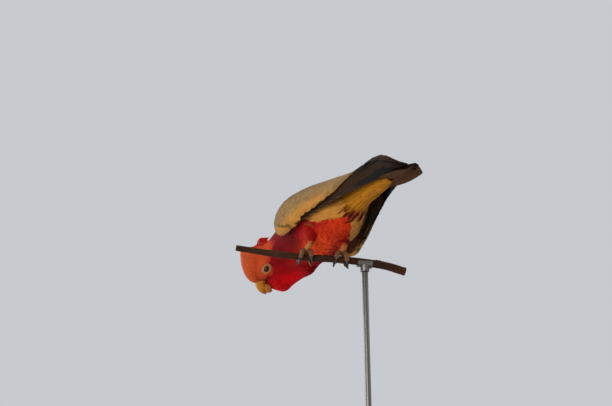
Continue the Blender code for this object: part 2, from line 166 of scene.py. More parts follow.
# %% [markdown]
# ## The body's surface
# Trunk, neck and head are one form: half-ellipses above and below a curved centre line. A
# point on it has two parameters: how far along the line it lies, from the rump to the face,
# and how far round, where 0 is the bird's left, a quarter turn is its back and minus a
# quarter turn its belly. Skin and feathers both read this surface, so they always agree.

# %% Body surface
TRUNK = (
    (-82, 0, 1, 13.5, 13, 16, 0),
    (-68, 0, 1, 21, 20, 23, 0),
    (-42, 0, 0, 34, 30, 31, 0),
    (-8, 0, 0, 41.5, 36, 37, 0),
    (28, 0, 0, 44, 38, 41, 0),
    (58, 3, -2, 43, 36, 39.5, 0.2),
    (84, 11, -8, 39, 34, 42, 0.54),
    (104, 21, -20, 34, 30, 42.5, 0.87),
)  # ahead, left, up, half width, height above and below (mm), share of the head's turn
HEAD = (
    (-9, 0, 27, 27, 44),
    (1, 0, 26, 26, 40),
    (10, 0, 22.5, 23, 36),
    (16, -1, 17, 20, 32),
    (19.5, -1.5, 12, 17.5, 28),
    (22.5, -2, 8, 14.5, 22.5),
    (25, -2, 4.5, 8.5, 13),
)  # in the head's frame: ahead, up, half width, height above and below (mm)


def body_stations():
    """Distance along the line, and per station its centre, its sizes and its plane's axes."""
    centres = [np.array([left, -ahead, up]) * MM for ahead, left, up, *_ in TRUNK]
    centres += [HEAD_AT + HEAD_TURN @ (np.array([0, -ahead, up]) * MM) for ahead, up, *_ in HEAD]
    sizes = [row[3:6] for row in TRUNK] + [row[2:] for row in HEAD]
    planes = [turned_by(row[6], HEAD_TURN) for row in TRUNK] + [HEAD_TURN] * len(HEAD)
    along = np.append(0, np.cumsum(np.linalg.norm(np.diff(centres, axis=0), axis=1)))
    return along, np.hstack([centres, np.array(sizes) * MM, np.reshape(planes, (-1, 9))])


ALONG, STATIONS = body_stations()
FACE_END = ALONG[-1]
HEAD_START = ALONG[len(TRUNK)]


def body_at(along, turn, out=0.0):
    """Centre, plus half width times cos(turn) to the side, plus height times sin(turn) up."""
    values = smooth(ALONG, STATIONS, along)
    plane = values[..., 6:].reshape(*values.shape[:-1], 3, 3)
    sine = np.sin(turn)
    side = (values[..., 3] + out) * np.cos(turn)
    rise = (np.where(sine > 0, values[..., 4], values[..., 5]) + out) * sine
    place = values[..., :3] + side[..., None] * unit(plane[..., 0]) + rise[..., None] * unit(plane[..., 2])
    return to_row(place)


NUDGE, NUDGE_ACROSS = 0.2 * MM, 0.004


def surface_frame(surface, first, second, out):
    """The surface's point, and its unit normal towards larger out: the cross product of two
    small steps, one along each parameter.
    """
    here = surface(first, second, out)
    ahead = unit(surface(first + NUDGE, second, out) - here)
    across = unit(surface(first, second + NUDGE_ACROSS, out) - here)
    normal = unit(np.cross(across, ahead))
    outer = surface(first, second, out + NUDGE) - here
    return here, normal * np.sign((normal * outer).sum(axis=-1, keepdims=True))


print("body line:", round(FACE_END / MM), "mm from the rump to the face")

# %% [markdown]
# ## From arrays to a mesh
# Each new piece is one array of points and one of four-cornered faces. Filling the mesh in
# whole arrays is fast even for two hundred thousand faces. A closed shape has a volume, and
# its sign tells whether the faces point outwards, so a shape that is inside out is turned
# here. Numbers such as a feather's tint travel with the points as attributes.

# %% Making a piece


def grid_faces(rows, around, ring=False):
    """Faces between neighbouring rows of points, each row a loop; in a ring so are the rows."""
    row, column = np.meshgrid(np.arange(rows - (not ring)), np.arange(around), indexing="ij")
    here, beyond = row * around, (row + 1) % rows * around
    after = (column + 1) % around
    return joined(here + column, here + after, beyond + after, beyond + column).reshape(-1, 4)


def capped(rows, around):
    """A closed grid whose two end rings, of an even number of points, are filled with quads."""
    strip = np.arange(around // 2 - 1)
    cap = joined(strip, strip + 1, around - 2 - strip, around - 1 - strip)
    return np.concatenate([grid_faces(rows, around), cap[:, ::-1], cap + (rows - 1) * around])


def volume(points, faces):
    """A sixth of the sum, over both triangles of each face, of corner dot cross product."""
    a, b, c, d = (points[faces[:, k]] for k in range(4))
    return float((np.cross(b - a, c - a) * a + np.cross(c - a, d - a) * a).sum()) / 6


def paint(mesh, title, numbers):
    """Numbers or colours, one for each point, kept on the mesh under a title."""
    kind, field = ("FLOAT_VECTOR", "vector") if np.ndim(numbers) == 2 else ("FLOAT", "value")
    layer = mesh.attributes.new(title, kind, "POINT")
    layer.data.foreach_set(field, np.asarray(numbers, np.float32).ravel())


def piece(name, points, faces, material, replaces=(), values=None, uv=None, bake=None, crease=50):
    """A named object of these points and faces; edges sharper than the crease stay sharp."""
    points = np.asarray(points, float).reshape(-1, 3)
    if volume(points - points.mean(axis=0), faces) < 0:
        faces = faces[:, ::-1]
    mesh = bpy.data.meshes.new(name)
    mesh.vertices.add(len(points))
    mesh.vertices.foreach_set("co", points.astype(np.float32).ravel())
    mesh.loops.add(faces.size)
    mesh.loops.foreach_set("vertex_index", faces.astype(np.int32).ravel())
    mesh.polygons.add(len(faces))
    mesh.polygons.foreach_set("loop_start", np.arange(0, faces.size, 4, dtype=np.int32))
    mesh.update(calc_edges=True)
    for title, map_points in (("Vane", uv), ("OFBake", bake)):
        if map_points is not None:
            layer = mesh.uv_layers.new(name=title)
            places = np.asarray(map_points, np.float32).reshape(-1, 2)[faces.ravel()]
            layer.uv.foreach_set("vector", places.ravel())
    for title, numbers in (values or {}).items():
        paint(mesh, title, numbers)
    mesh.shade_smooth()
    mesh.set_sharp_from_angle(angle=math.radians(crease))
    settle(name, mesh, material, replaces)


def settle(name, mesh, material, replaces=()):
    """A mesh becomes an object in its material that rides on the model and replaces solids."""
    mesh.materials.append(material)
    made = bpy.data.objects.new(name, mesh)
    bpy.context.scene.collection.objects.link(made)
    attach(made, "root")
    if replaces:
        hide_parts(*replaces)
    print(f"{made.name}: {sum(len(p.vertices) - 2 for p in made.data.polygons)} triangles")


# %% [markdown]
# ## Colours and shader nodes
# A colour is written as the six hex digits that a paint program shows. Shaders work with
# light, so the digits go through the sRGB curve first. One small function adds any node with
# its settings and its links, and every material below is built with it. A new material comes
# back with that function already tied to its own node tree.

# %% Colour and node helpers


def linear(hex_colour):
    """Each pair of hex digits as a share of 255, then through the sRGB curve."""
    share = np.array([int(hex_colour[i : i + 2], 16) for i in (1, 3, 5)]) / 255
    return np.where(share <= 0.04045, share / 12.92, ((share + 0.055) / 1.055) ** 2.4)


def add_node(tree, kind, links=None, inputs=None, **settings):
    """A node of this kind; links and inputs are by socket name or number."""
    node = tree.nodes.new(kind)
    for key, value in settings.items():
        setattr(node, key, value)
    for key, value in (inputs or {}).items():
        node.inputs[key].default_value = value
    for key, socket in (links or {}).items():
        tree.links.new(socket, node.inputs[key])
    return node


def new_material(name, roughness, **more):
    """A material, its adder of nodes and its shader, with constants on the shader's sockets."""
    made = bpy.data.materials.new(name)
    made.use_nodes = True
    shader = made.node_tree.nodes["Principled BSDF"]
    for key, value in {"Roughness": roughness, **more}.items():
        shader.inputs[key].default_value = value
    return made, functools.partial(add_node, made.node_tree), shader


def finish(shader, colour, bump=None):
    """The last links: the worked-out colour, and the bump if there is one, into the shader."""
    links = shader.id_data.links
    links.new(colour, shader.inputs["Base Color"])
    if bump:
        links.new(bump.outputs["Normal"], shader.inputs["Normal"])


def rgba(hex_colour):
    """A colour with its opacity, as a colour socket takes it."""
    return (*linear(hex_colour), 1)


def mixed(colour, other, share):
    """A blend from one colour to another, by a share for each place."""
    return colour + (np.asarray(other) - colour) * np.asarray(share)[..., None]


def rough(points, size_mm, seed=0):
    """A smooth uneven number for each place, mostly -1 to 1: the mean of six crossing sines."""
    draw = np.random.default_rng(seed)
    ways = unit(draw.normal(size=(6, 3))) * draw.uniform(0.7, 1.4, (6, 1)) * 2 * np.pi / (size_mm * MM)
    return np.sin(np.asarray(points) @ ways.T + draw.uniform(0, 6, 6)).mean(axis=-1) * 1.6


# %% [markdown]
# ## Camera
# The bird is seen from behind, below and its left, close enough for the head to look large.
# The camera stands above the floor and looks up.

# %% Camera
CAMERA_AT = (0.5387, 0.8558, 0.0294)
CAMERA_AIM = (-0.4394, -0.8355, 0.3299)
CAMERA_LENS = 45.82  # mm

camera = bpy.data.objects.new("camera", bpy.data.cameras.new("camera"))
bpy.context.scene.collection.objects.link(camera)
aim = unit(np.array(CAMERA_AIM))
right = unit(np.cross(aim, (0, 0, 1)))
turn = Matrix(np.stack([right, np.cross(right, aim), -aim], axis=1).tolist()).to_4x4()
camera.matrix_world = Matrix.Translation(CAMERA_AT) @ turn
camera.data.lens = CAMERA_LENS
camera.data.clip_start = 0.01
bpy.context.scene.camera = camera
print("camera height:", round(camera.location.z / MM), "mm above the floor")

# %% [markdown]
# ## The bird's markings
# One function paints both the skin and the feathers: it takes places on the model and gives
# a colour for each. A galah is rose-red on the face, neck, breast and belly, with a pale
# orange-pink cap, grey back and wings, and ochre-grey flanks and coverts round the tail.
# Light and shade are painted in too: the underside lighter and more orange, as if lit from
# below, a bright painted rim along the throat's lower outline, and painted shade on the
# neck's sides, inside that rim and on the flank under each wing. The borders are lines in
# the trunk's or head's own frame, and each blends over a few millimetres.

# %% Markings
DEEP_ROSE, BRIGHT_ROSE, CHEEK, LORE = (linear(x) for x in ("#8c0810", "#b0120e", "#94060e", "#520306"))
# Painted light and shade among the reds: the bright crimson is a painted rim of light, the maroon is rose in
# painted shade, and the two belly colours are rose painted lighter and more orange, as if lit from below.
THROAT_RIM_LIGHT, ROSE_IN_SHADE = (linear(x) for x in ("#d4020c", "#5e060c"))
CAP, CAP_EDGE, LIT_BELLY, LOW_BELLY_LIGHT = (linear(x) for x in ("#ab3e18", "#9e2e14", "#c8340f", "#ee4a1c"))
MANTLE, FLANK, OCHRE = (linear(x) for x in ("#86693f", "#b07832", "#a5690f"))
OLIVE, SHADED = (linear(x) for x in ("#6e5a24", "#3c2412"))
CAP_LINE = (
    (-30, 12), (-16, 8), (-9, 4), (-4, -2), (2, -6), (6, -5), (10, -1.5), (18, 1), (25, 2),
)  # ahead and up (mm)
BELLY_EDGE = (
    (-70, -30), (-62, 0), (-56, 12), (-48, 26), (-35, 33), (-12, 48), (5, 70), (20, 100),
)  # ahead (mm), degrees to each side of the belly's middle
BELLY_MIDDLE = -80  # degrees round the trunk


def markings(points):
    """Each row lays a colour over those before it: the colour, its strength, and its edges.
    An edge is a measure, the number where the colour starts and the number where it is full.
    """
    left, back, up = np.moveaxis(from_row(points) / MM, -1, 0)
    side, behind, over = np.moveaxis(head_from_row(points) / MM, -1, 0)
    ahead, fore = -back, -behind
    round_trunk = np.degrees(np.arctan2(up, left))
    from_belly = np.abs((round_trunk - BELLY_MIDDLE + 180) % 360 - 180)
    patchy = 4 * np.sin(left / 5.1 + 1) * np.sin(ahead / 6.3) + 2.5 * np.sin(ahead / 3.1 + up / 2.7)
    past_belly = from_belly + patchy - along_table(BELLY_EDGE, ahead)
    past_cap = over - along_table(CAP_LINE, fore)
    orange = mixed(CAP_EDGE, CAP, step(2, 9, past_cap))
    ochre = mixed(FLANK, OCHRE, step(-45, -75, ahead))
    under_wing = np.hypot(ahead + 2, (from_belly - 45) / 1.6)
    to_throat = 0.64 * fore - 0.77 * over
    colour = np.broadcast_to(DEEP_ROSE, points.shape)
    for top, strength, *edges in (
        (BRIGHT_ROSE, 0.6, (patchy * 2, -10, 12)),
        # Painted light: the underside lighter and more orange, as if lit from below, most of all on the low
        # belly.
        (LIT_BELLY, 0.85, (from_belly, 48, 14), (ahead, 66, 40)),
        (LOW_BELLY_LIGHT, 0.9, (from_belly, 34, 10), (ahead, 50, 25), (ahead, -20, 0)),
        # Painted shade on the neck's sides.
        (ROSE_IN_SHADE, 0.7, (from_belly, 24, 42), (ahead, 22, 40)),
        (ochre, 1, (past_belly, -3, 9), (ahead, 28, 14)),
        (SHADED, 0.9, (from_belly, 56, 68), (ahead, 28, 14), (ahead, -72, -54), (up, 20, 10)),
        (OLIVE, 0.5 * (left > 0), (under_wing, 10, 3)),
        (MANTLE, 1, (round_trunk, 22, 34), (round_trunk, 158, 146), (ahead + patchy, 58, 46)),
        (CHEEK, 0.8, (fore, -24, -12)),
        # Painted shade on the neck inside the throat's lit rim.
        (ROSE_IN_SHADE, 0.5, (to_throat, 6, -6), (fore, -2, -12), (ahead, 20, 40)),
        # Painted light: a bright rim along the throat's and breast's lower outline.
        (THROAT_RIM_LIGHT, 0.85, (to_throat, 8, 25), (ahead, 46, 64)),
        (orange, 1, (past_cap + patchy * 0.15, -1.2, 1.6), (fore, -42, -31)),
        (LORE, 0.85, (np.abs(over + 1.8), 2.8, 1), (fore, 7, 10), (fore, 21, 18), (np.abs(side), 12, 15)),
    ):
        share = np.prod([step(start, full, measure) for measure, start, full in edges], axis=0)
        colour = mixed(colour, top, share * strength)
    return colour


print("markings of the belly:", np.round(markings(np.array([body_at(0.08, -1.57)])), 2))

# %% [markdown]
# ## Folded wing and tail surfaces
# A folded wing lies on an oval bed round the trunk. Its surface is told by how far ahead a
# point is and its share of the way from the wing's lower edge to its upper one. The lower
# edge hangs a little off the body. The fan of long coverts under the tail is the lower half
# of an oval that narrows backwards.

# %% Wing, fan and tail surfaces
BED = (
    (70, -2, 48, 39, 45),
    (50, 0, 48, 41, 46),
    (28, 0, 48, 42, 43),
    (-8, 0, 44.5, 39, 39),
    (-42, 0, 37.5, 32, 33),
    (-75, 0, 30, 25, 27),
    (-110, -2, 24, 18, 20),
    (-150, -5, 17, 11, 13),
    (-188, -8, 11, 5, 7),
)  # ahead, up, half width, height above and below (mm)
WING = (
    (62, 0, 16, 3, 2),
    (58, -11, 38, 6, 3),
    (49, -20, 58, 9, 6),
    (32, -27, 74, 10.5, 10),
    (8, -26, 82, 9.5, 8),
    (-35, -21, 85, 7.5, 4),
    (-75, -19, 86, 5, 3),
    (-115, -21, 86, 3.5, 1),
    (-150, -23, 82, 2.6, 0),
    (-168, -28, 62, 2, 0),
    (-182, -40, 10, 1.6, 0),
    (-188, -46, -20, 1.2, 0),
)  # ahead (mm), angle of the lower and upper edge, thickness and lift of the lower edge (mm)
FAN = (
    (-50, 1, 31, 30),
    (-68, 0, 22, 23),
    (-84, -1, 16, 17),
    (-105, -4, 14, 13.5),
    (-130, -9, 11, 8.5),
    (-146, -12, 7, 4.5),
    (-157, -15, 4, 1.5),
)  # ahead, up, half width and depth (mm)
OVER = (
    (-60, 4, 24, 22),
    (-83, 1.5, 15, 13),
    (-100, 0, 13.5, 9),
    (-120, -3, 10.5, 5),
    (-132, -6, 7, 2),
)  # ahead, up, half width and height (mm)
TAIL = (
    (-84, 0, 12, 4),
    (-105, -3, 16, 4),
    (-125, -6.5, 18.5, 3.8),
    (-165, -14, 18.5, 3),
    (-186, -17.5, 17.5, 2.4),
    (-197, -19.5, 14.5, 2),
    (-203, -20.5, 8.5, 1.5),
    (-206, -21, 3.5, 1),
)  # ahead, up, half width, thickness (mm)
TAIL_ROOF = 3 * MM
QUILL_ARCH = 9 * MM


def wing_at(ahead, share, side, out=0.0):
    """The bed's oval at an angle, moved out by the hang of the lower edge, by the arch of the
    quills over the tail, which starts behind the coverts and ends at the tips, and by out.
    """
    up, half, above, below = read(BED, ahead / MM)
    low, high, _, lift = read(WING, ahead / MM)
    angle = np.radians((low + (high - low) * share) / MM)
    behind_coverts, before_tips = step(-92, -148, ahead / MM), step(-192, -162, ahead / MM)
    arch = QUILL_ARCH * behind_coverts * before_tips * step(0.08, 0.6, share)
    off = lift * (1 - np.clip(share, 0, 1)) + arch + out
    rise = (np.where(angle > 0, above, below) + off) * np.sin(angle)
    return to_row(joined(side * (half + off) * np.cos(angle), -ahead, up + rise))


def wing_thickness(ahead, share):
    """Full over most of the wing, and falling to nothing at both edges."""
    return read(WING, ahead / MM)[2] * np.sqrt(1 - np.clip(np.abs(2 * share - 1), 0, 1) ** 4)


def wedge_at(table, ahead, turn, out=0.0):
    """Half an oval, above (turn over 0) or below the tail: width by cos, depth by sin."""
    up, half, depth = read(table, ahead / MM)
    place = ((half + out) * np.cos(turn), -ahead + 0 * turn, up + (depth + out) * np.sin(turn))
    return to_row(joined(*place))


# %% [markdown]
# The wings are painted by place on the folded wing: golden cream near the lower edge, and
# mottled grey-brown further up. A dark band crosses the bend of the wing. All markings of the
# bird then join in one function, which the skin and the body's feathers both ask.

# %% Wing markings
SHOULDER, MOTTLE, CREAM, WING_EDGE = (linear(x) for x in ("#80633c", "#5c452a", "#aa7430", "#43380f"))
MOTTLE_WAVES = ((410, 233, 180), (-190, 350, 270), (120, -260, 400))  # radians per metre
BAND_SLANT = 170  # mm ahead for the wing's whole width


def wing_markings(points, ahead, share):
    """Cream, grey-brown on the shoulder and upper part, soft mottles, a band at the bend.
    The mottles are the product of three sine waves that cross.
    """
    ahead_mm = ahead / MM
    waves = np.sin(points @ np.transpose(MOTTLE_WAVES) + (2, 0, 0))
    spots = waves[..., 0] * waves[..., 1] * waves[..., 2]
    shoulder = step(0.08, 0.25, share + 0.06 * step(-10, 20, ahead_mm))
    colour = mixed(CREAM, SHOULDER, shoulder)
    colour = mixed(colour, MOTTLE, step(0.1, 0.7, spots) * (0.12 + 0.3 * shoulder))
    slanting = ahead_mm - BAND_SLANT * share
    colour = mixed(colour, CREAM, step(11, 14, slanting) * step(0.16, 0.1, share))
    band = step(4.5, 2, np.abs(slanting - 8)) * step(0.15, 0.1, share)
    return mixed(colour, WING_EDGE, band * 0.8)


def all_markings(points):
    """The body's markings, and the wings' wherever a point lies on the bed or outside it."""
    left, back, up = np.moveaxis(from_row(points), -1, 0)
    ahead = np.clip(-back, -180 * MM, 62 * MM)
    middle, half, above, below = read(BED, ahead / MM)
    low, high, _, _ = read(WING, ahead / MM)
    height = np.where(up > middle, above, below)
    spread = np.hypot(left / half, (up - middle) / height)
    angle = np.degrees(np.arctan2((up - middle) / height, np.abs(left) / half))
    share = (angle - low / MM) / (high - low) * MM
    on_wing = step(0.96, 1, spread) * step(-0.06, -0.02, share) * step(1.04, 1, share)
    on_wing = on_wing * step(64 * MM, 60 * MM, -back)
    return mixed(markings(points), wing_markings(points, ahead, share), on_wing)


# %% [markdown]
# ## One skin
# Under the plumage the bird is one body. Its skin joins the closed forms of trunk and head,
# both wings, both thighs and the coverts' wedges. A voxel remesh melts overlapping closed
# shapes into one surface with no seam, which a chain of Booleans would do with more risk.
# The skin lies two or three millimetres inside the plain solids, and the feathers fill the
# rest. It wears the same markings as they do. A shallow socket round each eye is made by
# limiting how far out the skin may stand there.

# %% Skin
HIPS = {"left": (27, 4, -24), "right": (-19, 1, -24)}  # left, ahead, up (mm)
ANKLES = {"left": (28, -3, -45), "right": (-17, -14, -40)}


def coat_depth(along):
    """3 mm on the trunk, thinning to 1.3 mm on the face, and more where the bill stands out."""
    near_bill = step(FACE_END - 10 * MM, FACE_END - 4 * MM, along)
    return (3 - 1.7 * step(0.1, HEAD_START, along) + 1.6 * near_bill) * MM


def body_form():
    """Rings along the body line, a coat's depth inside it."""
    along = np.linspace(0.001, FACE_END, 90)[:, None]
    turn = full_turn(72)
    return body_at(along, turn, -coat_depth(along))


def wing_form(side):
    """A closed band: the wing's outer face, swollen by its thickness, and its inner face."""
    ahead = np.linspace(58, -92, 60)[:, None] * MM
    share = np.linspace(0.04, 0.97, 20)
    swollen = 0.6 * wing_thickness(ahead, share) * step(-80, -30, ahead / MM)
    outer = wing_at(ahead, share, side, -0.3 * MM + swollen)
    inner = wing_at(ahead, share[::-1], side, -0.9 * MM)
    return np.concatenate([outer, inner], axis=1)


def wedge_form(table, low, high, rise):
    """A half oval, closed by a flatter one, a quarter of the way to it from the chord."""
    ahead = np.linspace(low, high, 24)[:, None] * MM
    turn = np.linspace(0, rise * np.pi, 16)
    half = wedge_at(table, ahead, turn, -2 * MM)
    flat = wedge_at(table, ahead, turn[::-1], -2 * MM)
    return np.concatenate([half, (flat + half[:, [0, -1]].mean(axis=1, keepdims=True) * 3) / 4], axis=1)


def thigh_axis(name):
    """Hip and ankle."""
    joints = np.array([HIPS[name], ANKLES[name]]) * (1, -1, 1) * MM
    return to_row(joints)


def thigh_at(along, turn, name, out=0.0):
    """A cone from hip (along 0) to ankle (along 1) that narrows faster towards the ankle."""
    hip, ankle = thigh_axis(name)
    down = unit(ankle - hip)
    fore = unit(np.cross(down, (1, 0, 0)))
    girth = (4.4 + 6.5 * (1 - np.clip(along, 0, 1) ** 1.3)) * MM + out
    ring = np.cos(turn)[..., None] * np.cross(fore, down) + np.sin(turn)[..., None] * fore
    return hip + np.asarray(along)[..., None] * (ankle - hip) + girth[..., None] * ring


def thigh_form(name):
    """The thigh's cone, inside its feathers."""
    along, turn = np.meshgrid(np.linspace(0, 0.97, 12), full_turn(24), indexing="ij")
    return thigh_at(along, turn, name, -1.2 * MM)


def melted(name, forms, voxel):
    """Closed grids as one mesh, remeshed on a voxel grid and smoothed a little."""
    points, faces, start = [], [], 0
    for form in forms:
        rows, around = form.shape[:2]
        points.append(form.reshape(-1, 3))
        faces.append(capped(rows, around) + start)
        start += rows * around
    mesh = bpy.data.meshes.new(name)
    mesh.from_pydata(np.concatenate(points).tolist(), [], np.concatenate(faces).tolist())
    made = bpy.data.objects.new(name, mesh)
    bpy.context.scene.collection.objects.link(made)
    remesh = made.modifiers.new("melt", "REMESH")
    remesh.mode, remesh.voxel_size = "VOXEL", voxel
    soften = made.modifiers.new("soften", "SMOOTH")
    soften.factor, soften.iterations = 0.5, 4
    done = bpy.data.meshes.new_from_object(made.evaluated_get(bpy.context.evaluated_depsgraph_get()))
    bpy.data.objects.remove(made)
    bpy.data.meshes.remove(mesh)
    return done


def as_points(collection, field):
    """Vectors of a mesh, such as its vertices' places, as one array."""
    numbers = np.empty(len(collection) * 3, np.float32)
    collection.foreach_get(field, numbers)
    return numbers.reshape(-1, 3).astype(float)


# %% [markdown]
# Skin under feathers is thin, slightly moist and dimpled where each shaft is rooted. A fine
# bump of cells a millimetre apart gives the dimples, and the colour comes from the markings,
# a little darker than on the feathers, as it lies in their shade.

# %% Skin finish
down_skin, add, shader = new_material("skin under down", 0.75, **{"Specular IOR Level": 0.08})
tint = add("ShaderNodeAttribute", attribute_name="tint")
place = add("ShaderNodeTexCoord")
follicles = add("ShaderNodeTexVoronoi", {"Vector": place.outputs["Object"]}, {"Scale": 900})
shade = add(
    "ShaderNodeMixRGB", {"Color1": tint.outputs["Color"], "Fac": follicles.outputs["Distance"]},
    {"Color2": rgba("#2a0806")}, blend_type="MULTIPLY",
)
dimple = add(
    "ShaderNodeBump", {"Height": follicles.outputs["Distance"]}, {"Strength": 0.3, "Distance": 0.3 * MM}
)
finish(shader, shade.outputs["Color"], dimple)

# %% Make the skin
SKIN_VOXEL = 1.5 * MM
SKIN_SHADE = 0.8
EYE_AHEAD, EYE_UP = 2, 5.5  # mm in the head's frame
SOCKET = 7.5  # mm from the eye's middle
FLESH = ("trunk", "neck", "head", "thigh_left", "thigh_right", "wing_left", "wing_right")

forms = [body_form(), wing_form(1), wing_form(-1), thigh_form("left"), thigh_form("right")]
forms += [wedge_form(FAN, -58, -150, -1), wedge_form(OVER, -66, -126, 1)]
skin_mesh = melted("skin", forms, SKIN_VOXEL)
in_head = head_from_row(as_points(skin_mesh.vertices, "co"))
from_eye = np.hypot((-in_head[:, 1] / MM - EYE_AHEAD) / 1.25, in_head[:, 2] / MM - EYE_UP)
limit = (19.5 + 5 * step(4, SOCKET, from_eye)) * MM
deep = (from_eye < SOCKET) & (np.abs(in_head[:, 0]) > limit)
in_head[:, 0] = np.where(deep, np.sign(in_head[:, 0]) * limit, in_head[:, 0])
skin_places = head_to_row(in_head)
skin_mesh.vertices.foreach_set("co", skin_places.astype(np.float32).ravel())
paint(skin_mesh, "tint", all_markings(skin_places) * SKIN_SHADE)
skin_mesh.shade_smooth()
covered = (*FLESH, "undertail_coverts", "uppertail_coverts")
settle("skin", skin_mesh, down_skin, covered)

# %% [markdown]
# ## How a feather is made
# A feather is a thin vane with a shaft along its middle. Hair curves or instances would be
# lost when the model is exported, so each vane is a small closed mesh: a lens-shaped ring of
# points carried along a path that lies on the bird. All the feathers of a region are worked
# out together, in arrays of feathers by rows by points of the ring.

# %% Laying feathers
FEW = np.array((0, 0.4, 0.75, 0.94, 1))
SOME = np.array((0, 0.2, 0.45, 0.7, 0.88, 0.97, 1))
MANY = np.linspace(0, 1, 15)


def vane_width(v, pointed=0.0):
    """Narrow at the root, full from half way, and closed by a quarter of an oval at the tip."""
    root = 0.35 + 0.65 * step(0, 0.5, v)
    tip = np.sqrt(np.clip(1 - np.clip((v - 0.6) / 0.42, 0, 1) ** 2, 0.02, 1))
    return root * (tip * (1 - pointed) + pointed * np.clip(1 - v, 0.06, 1) ** 0.7)


def lie(surface, first, second, length, drift, low, high, v, rise=0.8):
    """Paths that start low on a surface and run back along it, their tips reaching high."""
    back = first[:, None] - length[:, None] * v
    across = second[:, None] + drift[:, None] * v
    out = low[:, None] + (high - low)[:, None] * v**rise
    return surface_frame(surface, back, across, out)


def feathers(
    name, paths, normals, half_width, tints, v, material, places, replaces=(),
    thick=0.25 * MM, camber=0.22, around=4, patch=(0.003, 0.003), pointed=0.0,
):
    """Closed vanes: each path's point, plus the half width times cos to the side and half
    the thickness times sin upwards, with the edges bent down by the camber. In the bake map
    each vane fills a small patch at its own place.
    """
    turn = full_turn(around)
    across, level = -np.cos(turn), np.sin(turn)
    forward = unit(np.gradient(paths, axis=1))
    side = unit(np.cross(forward, normals))
    up = np.cross(side, forward)
    width = (half_width[:, None] * vane_width(v, pointed))[..., None]
    thinned = thick * np.clip(width / half_width[:, None, None], 0.25, 1)
    lift = level * thinned - camber * width * across**2
    beside = side[:, :, None] * (width * across)[..., None]
    points = paths[:, :, None] + beside + up[:, :, None] * lift[..., None]
    count, rows = paths.shape[:2]
    faces = capped(rows, around) + (np.arange(count) * rows * around)[:, None, None]
    grid = (count, rows, around)
    vane = joined(np.broadcast_to(across / 2 + 0.5, grid), v[:, None])
    bake = places[:, None, None] + (vane - 0.5) * patch
    tints = np.broadcast_to(tints[:, :, None], (*grid, 3)).reshape(-1, 3)
    piece(name, points, faces.reshape(-1, 4), material, replaces, {"tint": tints}, vane, bake)


def toned(colours, spread=0.1, warm=0.03):
    """Each feather's colour a little lighter or darker, and a little redder or yellower."""
    tone = np.exp(RANDOM.normal(0, spread, len(colours)))[:, None]
    hue = RANDOM.normal(0, warm, len(colours))[:, None] * (-1, 1, 0.5)
    return np.clip(colours * tone * (1 + hue), 0, 1)


def along_vane(colours, v, root=0.8, tip=1.06):
    """The colour along a vane: shaded at the root, where others cover it, and light at the tip."""
    return colours[:, None] * (root + (tip - root) * step(0, 0.9, v))[:, None]


# %% [markdown]
# ## Feather finishes
# A vane is made of barbs, fine parallel branches of keratin that leave the shaft at a slant.
# They are too fine to show, so they are drawn a few times coarser, as slanting lines on each
# side of the shaft. Keratin is a little glossy, and the downy edges catch light, which the
# sheen gives. Each vane has its own map: u runs across it and v along it.

# %% Feather material
BARB_SLANT = 0.45  # how far towards the tip a barb runs, for the vane's width
BARB_RELIEF = 0.2 * MM


def plumage(name, barbs, contrast, roughness, sheen, shaft=None, shaft_share=0.0, edge=None, edge_share=0.0):
    """Tint from the feather, times soft blotches and slanting barbs; then shaft and edge."""
    keratin = {"Sheen Weight": sheen, "Sheen Roughness": 0.5, "Specular IOR Level": 0.07}
    made, add, shader = new_material(name, roughness, **keratin)
    tint = add("ShaderNodeAttribute", attribute_name="tint").outputs["Color"]
    vane = add("ShaderNodeUVMap", uv_map="Vane")
    vane_place = add("ShaderNodeSeparateXYZ", {"Vector": vane.outputs["UV"]})
    centred = add("ShaderNodeMath", {0: vane_place.outputs["X"]}, {1: 0.5}, operation="SUBTRACT")
    off_shaft = add("ShaderNodeMath", {0: centred.outputs[0]}, operation="ABSOLUTE").outputs[0]
    slanting = {0: off_shaft, 2: vane_place.outputs["Y"]}
    slant = add("ShaderNodeMath", slanting, {1: -BARB_SLANT}, operation="MULTIPLY_ADD")
    phase = add("ShaderNodeMath", {0: slant.outputs[0]}, {1: barbs * 2 * math.pi}, operation="MULTIPLY")
    ridges = add("ShaderNodeMath", {0: phase.outputs[0]}, operation="SINE")
    place = add("ShaderNodeTexCoord").outputs["Object"]
    blotch = add("ShaderNodeTexNoise", {"Vector": place}, {"Scale": 140.0, "Detail": 3.0})
    light = add(
        "ShaderNodeMapRange", {"Value": blotch.outputs["Fac"]},
        {"From Min": 0.3, "From Max": 0.7, "To Min": 1 - contrast, "To Max": 1 + contrast},
    )
    stripe = add(
        "ShaderNodeMapRange", {"Value": ridges.outputs[0]},
        {"From Min": -1.0, "To Min": 1 - contrast * 0.6, "To Max": 1 + contrast * 0.3},
    )
    both = add("ShaderNodeMath", {0: light.outputs[0], 1: stripe.outputs[0]}, operation="MULTIPLY")
    colour = add("ShaderNodeVectorMath", {0: tint, "Scale": both.outputs[0]}, operation="SCALE")
    for strip_colour, strength, start, full in (
        (edge, edge_share, 0.34, 0.47),
        (shaft, shaft_share, 0.045, 0.02),
    ):
        if strength:
            reach = {"From Min": start, "From Max": full, "To Max": strength}
            strip = add("ShaderNodeMapRange", {"Value": off_shaft}, reach)
            mix = {"Fac": strip.outputs[0], "Color1": colour.outputs[0]}
            colour = add("ShaderNodeMixRGB", mix, {"Color2": rgba(strip_colour)})
    bump = {"Strength": 0.35, "Distance": BARB_RELIEF}
    finish(shader, colour.outputs[0], add("ShaderNodeBump", {"Height": ridges.outputs[0]}, bump))
    return made


contour = plumage("keratin barbs, soft contour feathers", 9, 0.1, 0.75, 0.015)
print("contour feathers: barbs drawn about 1.5 mm apart on the trunk, 0.4 mm on the head")

